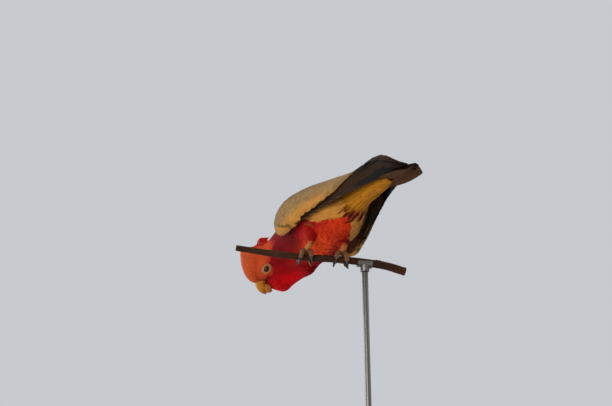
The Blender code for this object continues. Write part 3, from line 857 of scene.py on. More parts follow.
# %% [markdown]
# ## The body's coat
# Roots stand in staggered rows round the body. The gap between rows shrinks from 4 mm at the
# rump to 1.2 mm on the face, and each feather is about four gaps long, or three on the face,
# so that every spot is covered several times. Feathers point away from the bill and lie
# close, but the throat's are puffed. None grow on the bare ring round each eye, on the bill's
# base or under the folded wings.

# %% Body coat
BILL_LINE = (
    (-19, 40), (-17, 27), (-11.7, 21.5), (-6, 18), (-0.5, 15.5), (5, 20), (10.3, 25), (13, 40),
)  # up and ahead (mm) in the head's frame
EYE_RING = (2.4, 5.5, 8.2, 6.4)  # ahead, up, half length and half height (mm) in the head's frame
THROAT_ALONG, THROAT_LONG = 199 * MM, 24 * MM  # where the throat's feathers are puffed
THROAT_TURN, THROAT_WIDE = 262, 45  # the same round the body, in degrees
GAPS = (
    (0, 4.0), (0.1, 3.6), (0.155, 2.8), (HEAD_START - 0.006, 1.9), (HEAD_START + 0.02, 1.5), (FACE_END, 1.2),
)  # along the body line (m), gap (mm)


def row_gap(along):
    """The gap between rows of roots at a place along the body line."""
    return along_table(GAPS, along) * MM


def staggered(low, high):
    """Rows a gap apart; roots evenly round each, every other row turned by half a root."""
    fine = np.linspace(low, high, 500)
    passed = np.append(0, np.cumsum(np.diff(fine) / row_gap(fine[:-1])))
    rows = np.interp(np.arange(0.5, passed[-1]), passed, fine)
    half, above, below = smooth(ALONG, STATIONS, rows)[:, 3:6].T
    around = np.round(np.pi * (half + (above + below) / 2) / row_gap(rows)).astype(int)
    row = np.repeat(np.arange(len(rows)), around)
    number = np.arange(len(row)) - np.repeat(np.cumsum(around) - around, around)
    turn = (number + 0.5 * (row % 2) + RANDOM.uniform(-0.3, 0.3, len(row))) / around[row] * 2 * np.pi
    return rows[row] + RANDOM.uniform(-0.3, 0.3, len(row)) * row_gap(rows[row]), turn


def off_ring(behind, over):
    """Distance from the middle of the eye ring's oval; 1 on the oval itself."""
    middle, rise, length, height = EYE_RING
    return np.hypot((-behind - middle) / length, (over - rise) / height)


def feathered(points):
    """False on the eye rings, on the bill's base and where a folded wing covers the body."""
    side, behind, over = np.moveaxis(head_from_row(points) / MM, -1, 0)
    bill = -behind > along_table(BILL_LINE, over)
    left, back, up = np.moveaxis(from_row(points) / MM, -1, 0)
    low, high, _, _ = read(WING, np.clip(-back, -150, 61)) / MM
    under = np.degrees(np.arctan2(up, np.abs(left)))
    wing = (under > low + 16) & (under < high - 10) & (-back < 46)
    return ~((off_ring(behind, over) < 1) & (np.abs(side) > 14)) & ~bill & ~wing


def coat(name, low, high, v, length_gaps=4.2):
    """Feathers from one place along the body to another. They are longer and looser on the
    belly and rump, stop at the eye ring, and rise at the chin and throat by a bell curve.
    """
    along, turn = staggered(low, high)
    keep = feathered(body_at(along, turn))
    along, turn = along[keep], turn[keep]
    gap = row_gap(along)
    root = body_at(along, turn)
    left, _, up = np.moveaxis(from_row(root) / MM, -1, 0)
    loose = step(0.16, 0.02, along) * step(-18, -24, up) * 0.6 + step(0.14, 0.06, along) * 0.5
    length = gap * length_gaps * (1 + 0.35 * loose) * RANDOM.uniform(0.85, 1.15, len(along))
    length = np.minimum(length, along - 0.5 * MM)
    side, behind, over = np.moveaxis(head_from_row(root) / MM, -1, 0)
    to_ring = (off_ring(behind, over) - 1) * 7 * MM
    before_eye = (-behind > EYE_RING[0]) & (np.abs(side) > 12) & (np.abs(over - EYE_RING[1]) < EYE_RING[3])
    length = np.where(before_eye, np.minimum(length, to_ring + 1.2 * MM), length)
    drift = RANDOM.normal(0, 0.25, len(along)) * gap / (40 * MM) * (1 + loose)
    chin = step(HEAD_START + 0.016, FACE_END - 0.003, along) * step(-0.2, -0.7, np.sin(turn))
    round_throat = (np.degrees(turn) - THROAT_TURN + 180) % 360 - 180
    puffed = np.exp(-(((along - THROAT_ALONG) / THROAT_LONG) ** 2) - (round_throat / THROAT_WIDE) ** 2)
    high_out = RANDOM.normal(0.1, 0.12 + 0.12 * loose) * gap / 3 + (2.6 * chin + 5.5 * puffed) * MM
    rise = (0.8 - 0.4 * puffed)[:, None]
    paths, normals = lie(body_at, along, turn, length, drift, -coat_depth(along), high_out, v, rise)
    colours = toned(all_markings(paths[:, len(v) // 2 + 1]), 0.045, 0.015)
    places = joined((turn / (2 * np.pi)) % 1 * 0.98 + 0.01, along / FACE_END * 0.98 + 0.01)
    feathers(
        name, paths, normals, gap * RANDOM.uniform(0.8, 1.0, len(gap)), along_vane(colours, v), v, contour,
        places, thick=0.22 * MM, pointed=0.15,
    )


coat("coat_trunk", 0.004, 0.12, SOME)
coat("coat_neck", 0.12, HEAD_START - 0.012, SOME)
coat("coat_head", HEAD_START - 0.012, HEAD_START + 0.021, FEW)
coat("coat_face", HEAD_START + 0.021, FACE_END - 0.0005, FEW, 3)

# %% [markdown]
# ## Wing coverts
# Rows of coverts roof the folded wing like tiles: small and scale-like at the shoulder,
# longer towards the quills. They stop along a slanting border, where the dark quills show.
# Rows cut by a slant end in steps, so one more row of equal feathers follows the border
# itself. A second, sparse set lies on the wing's inner face, rose at the front, where the
# wing hangs off the body.

# %% Rows of wing coverts
SIDES = (("left", 1), ("right", -1))
WING_WIDTH = 88 * MM
BORDER_WIDTH = 66  # mm across the wing at the border
COVERT_GAPS = ((-112, 8.5), (-60, 7), (-20, 5.2), (20, 3.8), (62, 2.8))  # ahead, gap (mm)
COVERT_EDGE = (
    (-0.01, 40), (0, 12), (0.015, 3), (0.035, -8), (0.08, -42), (0.17, -75), (0.34, -95), (0.6, -115),
    (1, -143),
)  # share of the wing's width, ahead (mm)
knots = np.arange(len(COVERT_EDGE))
BORDER_SHARE, BORDER_AHEAD = smooth(knots, COVERT_EDGE, np.linspace(0, knots[-1], 200)).T
coverts = plumage("keratin barbs, wing coverts", 8, 0.1, 0.7, 0.03, edge="#b98b4c", edge_share=0.2)


def border_at(share):
    """How far ahead the border lies, at a share of the wing's width."""
    return np.interp(share, BORDER_SHARE, BORDER_AHEAD) * MM


def tiled(low, high, gaps, wide, share_low=0.0, share_high=1.0):
    """Rows of roots from low to high ahead, evenly spaced across a strip this wide; every
    other row is shifted by half a root.
    """
    fine = np.linspace(low, high, 400)
    gap = along_table(gaps, fine / MM) * MM
    passed = np.append(0, np.cumsum(np.diff(fine) / gap[:-1]))
    rows = np.interp(np.arange(0.5, passed[-1]), passed, fine)
    gap = along_table(gaps, rows / MM) * MM
    number = np.maximum(2, np.round(wide * (share_high - share_low) / gap).astype(int))
    row = np.repeat(np.arange(len(rows)), number)
    k = np.arange(len(row)) - np.repeat(np.cumsum(number) - number, number)
    spread = (k + 0.25 + 0.5 * (row % 2) + RANDOM.uniform(-0.15, 0.15, len(row))) / number[row]
    ahead = rows[row] + RANDOM.uniform(-0.15, 0.15, len(row)) * gap[row]
    return ahead, share_low + (share_high - share_low) * spread, gap[row]


def wing_places(ahead, share):
    """A root's place in the wing's bake map."""
    return joined(share, (ahead / MM + 115) / 190)


# %% Outer coverts
BORDER_COUNT, BORDER_LENGTH = 90, 10 * MM
UNDER_ROOT = 1.1 * MM


def wing_coverts(name, side):
    """Tiles that end at the border, and the row along it, coloured by where each one lies, with painted shade
    near the border and on the right wing's lower edge.
    """

    def outer_face(ahead, share, out):
        """The wing's surface on the far side of its thickness, 0.6 mm out."""
        return wing_at(ahead, share, side, out + 0.6 * MM + wing_thickness(ahead, share))

    ahead, share, gap = tiled(-100 * MM, 61 * MM, COVERT_GAPS, WING_WIDTH)
    length = gap * RANDOM.uniform(3.0, 3.5, len(gap))
    border = border_at(share)
    keep = (ahead - border > 0.4 * length) & (share < 0.985)
    length = np.minimum(length, ahead - border)
    passed = np.append(0, np.cumsum(np.hypot(np.diff(BORDER_SHARE) * BORDER_WIDTH, np.diff(BORDER_AHEAD))))
    even = np.linspace(passed[0] + 6, passed[-1], BORDER_COUNT)
    last = np.full(BORDER_COUNT, BORDER_LENGTH)
    ahead = np.append(ahead[keep], np.interp(even, passed, BORDER_AHEAD) * MM + last)
    share = np.append(share[keep], np.interp(even, passed, BORDER_SHARE) + 0.012)
    gap, length = np.append(gap[keep], last * 0.28), np.append(length[keep], last)
    drift = -0.02 * step(0.1, 0.4, share) * length / (10 * MM) + RANDOM.normal(0, 0.006, len(gap))
    high = RANDOM.normal(0.1, 0.12, len(gap)) * MM
    v = SOME
    paths, normals = lie(outer_face, ahead, share, length, drift, high * 0 - UNDER_ROOT, high, v)
    middle = len(v) // 2 + 1
    colours = wing_markings(paths[:, middle], ahead - length * v[middle], share + drift * v[middle])
    to_border = (ahead - border_at(share)) / MM - length * v[middle] / MM
    # Painted shade: the coverts darken towards their border with the dark quills.
    shade_near_border = step(10, 1, to_border) * step(0.03, 0.1, share)
    colours = mixed(colours, linear("#5e421c"), shade_near_border * 0.45)
    # Painted shade on the lower edge of the right wing, the far one.
    far_wing_edge_shade = step(0.17, 0.11, share) * step(20, 5, ahead / MM) * (side < 0)
    colours = mixed(colours, linear("#2a180d"), far_wing_edge_shade * 0.85)
    places = wing_places(ahead, share * 0.96 + 0.02)
    tints = along_vane(toned(colours, 0.05, 0.02), v, 0.82, 1.04)
    feathers(
        f"coat_wing_{name}", paths, normals, gap * 1.02, tints, v, coverts, places,
        camber=0.16,
    )


# %% Underwing coverts
UNDERWING_GAPS = ((-70, 7), (56, 4))  # ahead, gap (mm)
UNDERWING_BROWN, UNDERWING_ROSE = linear("#3a2415"), linear("#8a1a14")


def underwing_coverts(name, side):
    """Brown tiles on the inner face, rose at the front, with a cream rim."""

    def inner_face(ahead, share, out):
        """The wing's surface next to the body, 0.8 mm further in."""
        return wing_at(ahead, share, side, -out - 0.8 * MM)

    ahead, share, gap = tiled(-70 * MM, 56 * MM, UNDERWING_GAPS, WING_WIDTH, 0.02, 0.42)
    low, high = 0 * gap - 0.6 * MM, 0 * gap + 0.4 * MM
    paths, normals = lie(inner_face, ahead, share, gap * 3, 0 * gap, low, high, FEW)
    rose = step(8, 30, ahead / MM + 60 * (0.2 - share))
    colours = toned(mixed(UNDERWING_BROWN, UNDERWING_ROSE, rose), 0.15)
    rim = step(0.12, 0.04, share) * step(0, 18, ahead / MM)
    tints = along_vane(mixed(colours, CREAM * 0.8, rim), FEW)
    places = wing_places(ahead, share)
    feathers(f"coat_underwing_{name}", paths, normals, gap * 0.9, tints, FEW, coverts, places)


for name, side in SIDES:
    wing_coverts(name, side)
    underwing_coverts(name, side)

# %% [markdown]
# ## Quills of the wings
# Ten primaries and nine secondaries fold like the sticks of a fan. The outermost primary
# lies lowest and nearest to the body, and each next one lies a little over it, so a narrow
# strip of every vane shows along the wing's lower edge. Each quill is a long vane whose path
# runs on the wing's surface from its root to its own tip. The tips sag a little, and near the
# tail each wing moves a few millimetres, so that no gap is left beside it.

# %% Wing quills
QUILL_DARK, QUILL_BROWN, QUILL_EDGE = "#0c0603", "#1c0e06", "#4e2f16"
quill = plumage(
    "keratin quills, dark", 42, 0.2, 0.55, 0.0,
    shaft="#080403", shaft_share=0.8, edge=QUILL_EDGE, edge_share=0.4,
)
PRIMARY_TIPS = (-175, -186, -194, -199, -199, -196, -191, -184, -175, -164)  # ahead (mm)
PRIMARY_TIP_SHARES = (0.08, 0.16, 0.28, 0.42, 0.48, 0.52, 0.56, 0.6, 0.65, 0.7)
SECONDARIES = 9
GREY_FROM = 16  # this secondary and those after it are coloured like the coverts over them
NEAR_TAIL = {"left": ((0, 0, -4), (0, 0, 0)), "right": ((4, 0, 3), (8, 0, 2))}  # lower, upper part (mm)


def wing_quills(name, side):
    """Roots step back and up along the wing; tips follow the two tables above."""
    primary, secondary = np.arange(len(PRIMARY_TIPS)), np.arange(SECONDARIES)
    number, v = np.arange(len(primary) + SECONDARIES), MANY
    root_ahead = np.append(24 - 3.2 * primary, -12 - 9 * secondary) * MM
    root_share = np.append(0.03 + 0.004 * primary, 0.07 + 0.075 * secondary)
    tip_ahead = np.append(PRIMARY_TIPS, -154 + 4 * secondary) * MM
    tip_share = np.append(PRIMARY_TIP_SHARES, 0.64 + 0.038 * secondary)
    ahead = root_ahead[:, None] + (tip_ahead - root_ahead)[:, None] * v
    share = root_share[:, None] + (tip_share - root_share)[:, None] * v**1.25
    out = (0.3 + 0.16 * number[:, None]) * MM + 0 * v
    here, normal = surface_frame(lambda f, s, o: wing_at(f, s, side, o), ahead, share, out)
    half_width = np.append(7.5 + 0.15 * primary, 8.5 + 0 * secondary) * MM
    ahead = ahead / MM
    sag = step(-140, -186, ahead) * 2.5 + step(-178, -200, ahead) * 6
    lower = step(-105, -148, ahead) * step(0.5, 0.1, share)
    upper = step(-80, -112, ahead) * step(-176, -150, ahead) * step(0.4, 0.68, share)
    lower_way, upper_way = np.array(NEAR_TAIL[name]) * MM
    here = here - sag[..., None] * (0, 0, MM) + lower[..., None] * lower_way
    here = here + upper[..., None] * upper_way
    colours = mixed(linear(QUILL_BROWN), linear(QUILL_DARK), step(16, 4, number))
    colours = mixed(colours, SHOULDER * 0.8, step(13.5, 15.5, number))
    tints = along_vane(toned(colours, 0.12, 0.03), v, 1.25, 0.35)
    tints[GREY_FROM:] = colours[GREY_FROM:, None]
    places = joined((number + 0.5) / len(number), 0.5)
    feathers(
        f"quills_{name}", here, normal, half_width, tints, v, quill, places,
        (f"flight_{name}",), thick=0.5 * MM, camber=0.1, around=8, patch=(0.048, 0.98),
    )


for name, side in SIDES:
    wing_quills(name, side)

# %% [markdown]
# ## Tail
# Twelve tail feathers lie in a stack: the middle pair on top and the outermost pair lowest.
# The sides droop a little like a roof, and the end is rounded. From below, the outer vanes
# cover the rest. Under and over the root, long pointed coverts close the gap to the body.

# %% Tail feathers
PAIRS = 6
TAIL_ROOT = -84 * MM
TAIL_DARK, TAIL_TAN = linear("#241309"), linear("#5a3612")


def tail_at(ahead, left, out=0.0):
    """The tail's middle sheet, drooping by the square of the distance from its middle."""
    up, half, _ = read(TAIL, ahead / MM)
    place = (left, -ahead, up - TAIL_ROOF * np.clip(left / half, -1.3, 1.3) ** 2 + out)
    return to_row(joined(*place))


def tail_feathers():
    """Pairs from the middle out: each starts and ends further aside, lower and shorter. The
    left ones draw in towards the tip and sag, as the tail leans.
    """
    pair = np.repeat(np.arange(PAIRS), 2)
    hand = np.tile([1, -1], PAIRS)
    v = MANY
    tip_ahead = (-205 + 0.25 * pair**2) * MM
    ahead = TAIL_ROOT + (tip_ahead - TAIL_ROOT)[:, None] * v
    reach = np.minimum(1, 0.35 + v)
    aside = (1 + 1.1 * pair)[:, None] + (1.2 + 0.75 * pair)[:, None] * v
    left = hand[:, None] * aside * MM * reach
    left = left - 0.3 * np.maximum(left, 0) * v**2 + 0.15 * np.minimum(left, 0) * v
    level = (1.3 - 0.42 * pair - 0.1 * (hand > 0)) * MM
    here, normal = surface_frame(tail_at, ahead, left, level[:, None] + 0 * v)
    sag = (1 + 6 * np.clip(left / (8 * MM), 0, 1)) * MM * v**2
    here = here - sag[..., None] * (0, 0, 1)
    colours = toned(mixed(TAIL_DARK, TAIL_TAN, step(1, 5, pair)), 0.08)
    places = joined((np.arange(2 * PAIRS) + 0.5) / (2 * PAIRS), 0.5)
    feathers(
        "tail_feathers", here, normal, (9.4 - 0.15 * pair) * MM, along_vane(colours, v, 1.2, 0.7), v, quill,
        places, ("tail",), thick=0.45 * MM, camber=0.06, around=8, patch=(0.075, 0.98),
    )


tail_feathers()

# %% Coverts of the tail's root
UPPER_COVERT = linear("#96805c")
streaked = plumage(
    "keratin barbs, streaked tail coverts", 10, 0.07, 0.75, 0.03, shaft="#5a2f0c", shaft_share=0.25
)


def wedge_coat(name, table, rise, low, high, gap, length_mm, ends, colour_of, loose):
    """Pointed feathers over half an oval; none reaches further back than the wedge's end. A
    larger loose number lets them differ more in way, lift and tone.
    """
    ahead, share, gaps = tiled(low * MM, high * MM, ((low, gap), (high, gap)), 60 * MM)
    turn = rise * np.pi * share
    length = np.minimum(length_mm * RANDOM.uniform(0.85, 1.15, len(gaps)), ahead / MM - ends) * MM
    drift = RANDOM.normal(0, 0.08 * loose, len(gaps))
    high_out = RANDOM.normal(0.1, 0.5 * loose, len(gaps)) * MM
    surface = functools.partial(wedge_at, table)
    paths, normals = lie(surface, ahead, turn, length, drift, high_out * 0 - 1.9 * MM, high_out, SOME)
    colours = toned(colour_of(paths[:, 3]), 0.08 * loose + 0.03, 0.03)
    places = joined(share * 0.96 + 0.02, (ahead / MM + 160) / 110)
    tints = along_vane(colours, SOME, 0.6, 1.12)
    feathers(
        name, paths, normals, gaps * 0.7, tints, SOME, streaked,
        places, pointed=0.6, camber=0.2, thick=0.3 * MM,
    )


wedge_coat("coat_undertail", FAN, -1, -122, -54, 3.5, 36, -151, markings, 0.8)
wedge_coat("coat_uppertail", OVER, 1, -112, -60, 5.0, 24, -131, lambda points: points * 0 + UPPER_COVERT, 0.5)

# %% [markdown]
# ## Flank plumes
# The longest and loosest body feathers hang from the flanks: cream plumes that sweep along
# the border of the red belly to the vent. Each follows that border at its own distance, so
# the border's own table steers it. A few dark red ones lie between them round the vent, as
# painted shade in the gaps between the belly's feathers and the tail's coverts.

# %% Flank plumes
PLUME_ROOT = 2.4 * MM
# The vent's dark red is painted shade in the gaps between the belly's feathers and the tail's coverts.
PLUME_BROWN, VENT_SHADE_RED = linear("#8a5a22"), linear("#5c0a08")


def plumes(name, hand, ahead, beyond, length, half_width, colours, high, last):
    """Feathers that run back at a fixed number of degrees beyond the belly's border, from
    under the coat to a height over it, and none past the last place.
    """
    v = SOME
    length = np.minimum(length, ahead - last)
    on = ahead[:, None] - length[:, None] * v
    edge = np.maximum(along_table(BELLY_EDGE, on / MM), 14)
    turn = np.radians(BELLY_MIDDLE + hand * (edge + beyond[:, None]))
    along = np.interp(on, -STATIONS[: len(TRUNK), 1], ALONG[: len(TRUNK)])
    out = -PLUME_ROOT + (high[:, None] + PLUME_ROOT) * v**0.6
    here, normal = surface_frame(body_at, np.maximum(along, 0.3 * MM), turn, out)
    places = joined((turn[:, 0] / (2 * np.pi)) % 1 * 0.98 + 0.01, (ahead / MM + 90) / 120)
    tints = along_vane(colours, v, 0.75, 1.08)
    feathers(
        name, here, normal, half_width, tints, v, contour, places,
        pointed=0.7, camber=0.25, thick=0.25 * MM,
    )


def flank(name, hand, number=240):
    """Cream plumes beyond the border, browner further up, with drawn lengths and lifts."""
    ahead = RANDOM.uniform(-34, 12, number) * MM
    beyond = RANDOM.uniform(0, 44, number)
    colours = mixed(FLANK, PLUME_BROWN, step(20, 44, beyond) * 0.7)
    high = RANDOM.uniform(0.2, 1.3, number) * MM
    length, half_width = RANDOM.uniform(28, 46, number) * MM, RANDOM.uniform(1.5, 2.3, number) * MM
    last = np.interp(beyond, (0, 12, 24), (-62, -64, -72)) * MM
    shown = beyond * (0.55 if hand < 0 else 1)
    plumes(f"plumes_{name}", hand, ahead, shown, length, half_width, toned(colours, 0.06, 0.02), high, last)


def vent(number=44):
    """Narrow, dark red plumes across the vent, the loosest of all; their dark red is painted shade in the
    gaps round the vent.
    """
    ahead, beyond = RANDOM.uniform(-54, -44, number) * MM, RANDOM.uniform(-64, 18, number)
    length, half_width = RANDOM.uniform(16, 26, number) * MM, RANDOM.uniform(0.6, 1.1, number) * MM
    colours = toned(np.tile(VENT_SHADE_RED, (number, 1)), 0.3)
    high = RANDOM.uniform(1.8, 3, number) * MM
    plumes("plumes_vent", 1, ahead, beyond, length, half_width, colours, high, -74 * MM)


for name, hand in SIDES:
    flank(name, hand)
vent()

# %% [markdown]
# ## Feathered legs
# Short feathers cover each thigh and point down to the ankle, and a cuff of orange-tan ones
# runs a little way over the scaly shank. They lie on the thigh's own cone, told by how far
# above the ankle a root stands and how far round it is.

# %% Feathered legs
LEG = 22 * MM
LEG_CUFF = linear("#b8651c")
LEG_ROWS, LEG_ROOTS = 18, 28


def thigh_coat(name):
    """Rows of roots down the leg, every other row turned by half a root. Feathers shorten
    and lie closer towards the ankle, where their colour turns to the cuff's.
    """
    high = np.repeat(np.linspace(29, 1, LEG_ROWS), LEG_ROOTS) * MM
    turn = np.tile(np.arange(LEG_ROOTS), LEG_ROWS) * 2 * np.pi / LEG_ROOTS
    turn = turn + np.repeat(np.arange(LEG_ROWS) % 2, LEG_ROOTS) * 0.11
    turn = turn + RANDOM.normal(0, 0.05, len(turn))
    length = np.interp(high / MM, (1, 8, 21), (4.5, 7, 12)) * RANDOM.uniform(0.85, 1.1, len(high)) * MM
    out = (RANDOM.normal(0.1, 0.2, len(high)) - step(8, 1, high / MM)) * MM

    def leg_at(high, turn, out):
        """The thigh's cone by height over the ankle: 1 - high / LEG is the way down it."""
        return thigh_at(1 - high / LEG, turn, name, out)

    paths, normals = lie(leg_at, high, turn, length, 0 * high, 0 * high - 1.8 * MM, out, SOME)
    # Painted light: one side of each thigh lighter and more orange, as if lit, the other side deep rose.
    colours = mixed(DEEP_ROSE, LIT_BELLY * 0.7, 0.5 + 0.5 * np.sin(turn))
    colours = mixed(colours, LEG_CUFF, step(6, 2, high / MM + RANDOM.normal(0, 0.8, len(high))))
    places = joined(turn / (2 * np.pi) % 1 * 0.98 + 0.01, (high / MM + 5) / 28)
    tints = along_vane(toned(colours, 0.08), SOME)
    feathers(
        f"coat_leg_{name}", paths, normals, np.full(len(high), 1.7 * MM), tints,
        SOME, contour, places, pointed=0.3,
    )


for name in HIPS:
    thigh_coat(name)

# %% [markdown]
# ## Crest
# The crest is a fan of plumes, raised as a smooth dome. Its base line lies on the crown and
# its tips on a second line; the hindmost tips curl up and are red. A closed lens of down
# fills its middle, and four layers of plumes on each side roof it.

# %% Crest
CREST = (
    (20, 8, 27.6, 9.5, 7),
    (18, 11, 28.6, 16, 9),
    (16, 13, 27.4, 22.5, 10.5),
    (13, 15, 23.6, 30, 12),
    (9, 16, 16.5, 38.3, 13),
    (4, 16, 6, 46.2, 13.5),
    (-1, 16, -5, 51.5, 12.5),
    (-5, 16, -12.5, 45, 11.5),
    (-8, 16, -18.5, 37.5, 10.5),
    (-12, 15, -23, 34.5, 9.5),
    (-15, 13, -27.5, 29.5, 8.5),
    (-18, 10, -34, 25.5, 7.5),
    (-20, 6, -38, 19.5, 6),
)  # base ahead and up, tip ahead and up, half thickness at the base (mm)
CREST_HIGH = 40 * MM
CREST_SHADE = 0.75
CREST_LAYERS = (
    (0.52, 64, 0.6, 0), (0.34, 56, 0.5, 0.105), (0.16, 50, 0.45, 0.21), (0.0, 44, 0.4, 0.315),
)  # where the roots stand between base and tip, how many, how far they reach, lift (mm)
CURLS = 6
CURL_RED = linear("#a30f0c")


def crest_at(to_tip, place, hand, out=0.0):
    """Half a lens: from the base line to the tip line, with the half width of a quarter oval."""
    f = np.clip(1 - to_tip / CREST_HIGH, -0.1, 1)
    row = smooth(np.arange(len(CREST)), CREST, place) * MM
    base_ahead, base_up, tip_ahead, tip_up, half = np.moveaxis(row, -1, 0)
    ahead, up = base_ahead + (tip_ahead - base_ahead) * f, base_up + (tip_up - base_up) * f
    left = hand * (0.4 * MM + half * np.sqrt(np.clip(1 - f**2, 0, 1)) + out)
    return head_to_row(joined(left, -ahead, up))


def crest_colours(place, tip_share):
    """Orange cap colour, redder to the tips and deep red on the hindmost plumes, with painted shade at the
    base of the crest, where it meets the crown.
    """
    colours = mixed(CAP, linear("#b04824"), step(0.3, 0.8, tip_share))
    # Painted shade at the base of the crest's down, where it meets the crown.
    colours = mixed(colours, linear("#7e1a10"), step(0.12, 0.0, tip_share) * step(1, 2.5, place) * 0.8)
    return mixed(colours, linear("#9c120c"), step(7, 8.5, place) * step(0.8, 0.97, tip_share))


def crest_down():
    """The lens between the two sides, a little smaller, as one closed grid."""
    rows, half_ring = 40, 12
    place = np.linspace(0.1, len(CREST) - 1.1, rows)[:, None]
    f = np.linspace(0, 0.93, half_ring)
    left, right = (crest_at((1 - f) * CREST_HIGH, place, hand, -0.9 * MM) for hand in (1, -1))
    points = np.concatenate([left, right[:, ::-1]], axis=1)
    share = np.tile(np.append(f, f[::-1]), rows)
    colours = crest_colours(np.repeat(place[:, 0], 2 * half_ring), share) * CREST_SHADE
    bake = joined(np.linspace(0.02, 0.98, rows)[:, None], np.linspace(0.02, 0.98, 2 * half_ring))
    faces = capped(rows, 2 * half_ring)
    piece("crest_down", points, faces, contour, ("crest",), {"tint": colours}, bake * 0, bake)


def crest_plumes(name, hand):
    """Layers of plumes on one side; each lies over the roots of the layer nearer the tip."""
    root, place, reach, level = [], [], [], []
    for start, count, span, lift in CREST_LAYERS:
        root.append(np.full(count, start) + RANDOM.uniform(-0.05, 0.05, count))
        even = (np.arange(count) + 0.5 + RANDOM.uniform(-0.25, 0.25, count)) / count
        place.append(even * (len(CREST) - 1.2) + 0.1)
        reach.append(np.full(count, span) * RANDOM.uniform(0.9, 1.05, count))
        level.append(np.full(count, lift))
    root, place, reach, level = (np.concatenate(x) for x in (root, place, reach, level))
    reach = np.minimum(reach, 0.99 - root)
    paths, normals = lie(
        lambda f, s, o: crest_at(f, s, hand, o), (1 - root) * CREST_HIGH, place, reach * CREST_HIGH, 0 * root,
        0 * root - 1.1 * MM, level * MM, SOME,
    )
    colours = toned(crest_colours(place, root + reach), 0.05, 0.02)
    places = joined((place + 0.3) / (len(CREST) - 0.3), 0.06 + root * 0.9)
    tints = along_vane(colours, SOME, 0.9, 1.03)
    feathers(
        name, paths, normals, np.full(len(place), 2.2 * MM), tints, SOME, contour,
        places, pointed=0.45, camber=0.15,
    )


def crest_curls():
    """Thin red plumes at the back of the crest. Each path is a quadratic curve through a
    start, a pull and an end, so that it bends up, over and down at its tip.
    """
    v = np.linspace(0, 1, 12)
    pick = np.linspace(0, 1, CURLS)
    start = joined(-14 - 8 * pick, 27 - 6 * pick)
    pull = joined(-28 - 10 * pick, 39 - 11 * pick)
    end = joined(-35.5 - 4.5 * pick, 31.5 - 9.5 * pick)
    line = bend(start[:, None], pull[:, None], end[:, None], v[:, None])
    left = (np.resize((2.5, -2, 0.5), CURLS)[:, None] + RANDOM.normal(0, 0.6, CURLS)[:, None]) * (0.6 + v)
    paths = head_to_row(joined(left, -line[..., 0], line[..., 1]) * MM)
    sideways = np.broadcast_to(unit(head_to_row((1, 0, 0)) - head_to_row((0, 0, 0))), paths.shape)
    tints = along_vane(toned(np.tile(CURL_RED, (CURLS, 1)), 0.1), v, 0.9, 1.1)
    places = joined(pick * 0.9 + 0.05, 0.5)
    feathers(
        "crest_curls", paths, sideways, np.full(CURLS, 1.25 * MM), tints, v, contour, places,
        pointed=0.4, camber=0.2, patch=(0.08, 0.9),
    )


crest_down()
for name, hand in SIDES:
    crest_plumes(f"crest_{name}", hand)
crest_curls()

# %% [markdown]
# ## Eyes
# Each eye is a ball set deep in the head. Only its middle shows, through an opening in the
# bare ring of skin round it. The ring is a closed band whose top is folded into fine
# concentric wrinkles; its outer edge follows the side of the head, told by a curved sheet
# fitted to the body's surface near the eye.

# %% Eye finishes
EYE_RADIUS = 4.9 * MM
EYE_AT = np.array([20.6, -EYE_AHEAD, EYE_UP]) * MM
BALL_RINGS = 40
OPENING = (4.2, 3.3)  # half length and half height of the lids' opening (mm)
RING_THICK = 1.4  # mm
SCLERA, IRIS, PUPIL = (linear(x) for x in ("#4a1c10", "#2a0a06", "#040202"))
RING_PALE, RING_TAN, LID_DARK = (linear(x) for x in ("#9c6029", "#86451b", "#3c140a"))

wet = {"Specular IOR Level": 0.3, "Coat Weight": 0.1, "Coat Roughness": 0.02}
wet_eye, add, shader = new_material("wet cornea over dark iris", 0.08, **wet)
finish(shader, add("ShaderNodeAttribute", attribute_name="tint").outputs["Color"])


def finish_tint(add, shader, factor, height, strength, distance):
    """The end of several finishes: the piece's tint times a factor, and a bump of a height."""
    tint = add("ShaderNodeAttribute", attribute_name="tint")
    colour = add("ShaderNodeVectorMath", {0: tint.outputs["Color"], "Scale": factor}, operation="SCALE")
    bump = add("ShaderNodeBump", {"Height": height}, {"Strength": strength, "Distance": distance})
    finish(shader, colour.outputs[0], bump)


bare_skin, add, shader = new_material("bare wrinkled skin", 0.55, **{"Specular IOR Level": 0.3})
place = add("ShaderNodeTexCoord")
pores = add("ShaderNodeTexNoise", {"Vector": place.outputs["Object"]}, {"Scale": 1500.0, "Detail": 2.0})
mottled = add("ShaderNodeMapRange", {"Value": pores.outputs["Fac"]}, {"To Min": 0.75, "To Max": 1.25})
finish_tint(add, shader, mottled.outputs[0], pores.outputs["Fac"], 0.5, 0.2 * MM)


# %% Eyeballs and rings


def head_side(ahead_mm, up_mm):
    """How far left the head's surface is: a quadratic fitted to its points near the eye."""
    along = np.linspace(HEAD_START - 10 * MM, FACE_END - 2 * MM, 80)
    turn = np.linspace(-1.2, 1.3, 80)[:, None]
    left, back, up = np.moveaxis(head_from_row(body_at(along, turn)) / MM, -1, 0)
    near = np.hypot(-back - 2, up - 5.5) < 10

    def terms(a, u):
        """The six terms of a curved sheet: 1, a, u, a^2, a u and u^2."""
        return joined(a * 0 + 1, a, u, a * a, a * u, u * u)

    fit = np.linalg.lstsq(terms(-back[near], up[near]), left[near], rcond=None)[0]
    return terms(ahead_mm, up_mm) @ fit


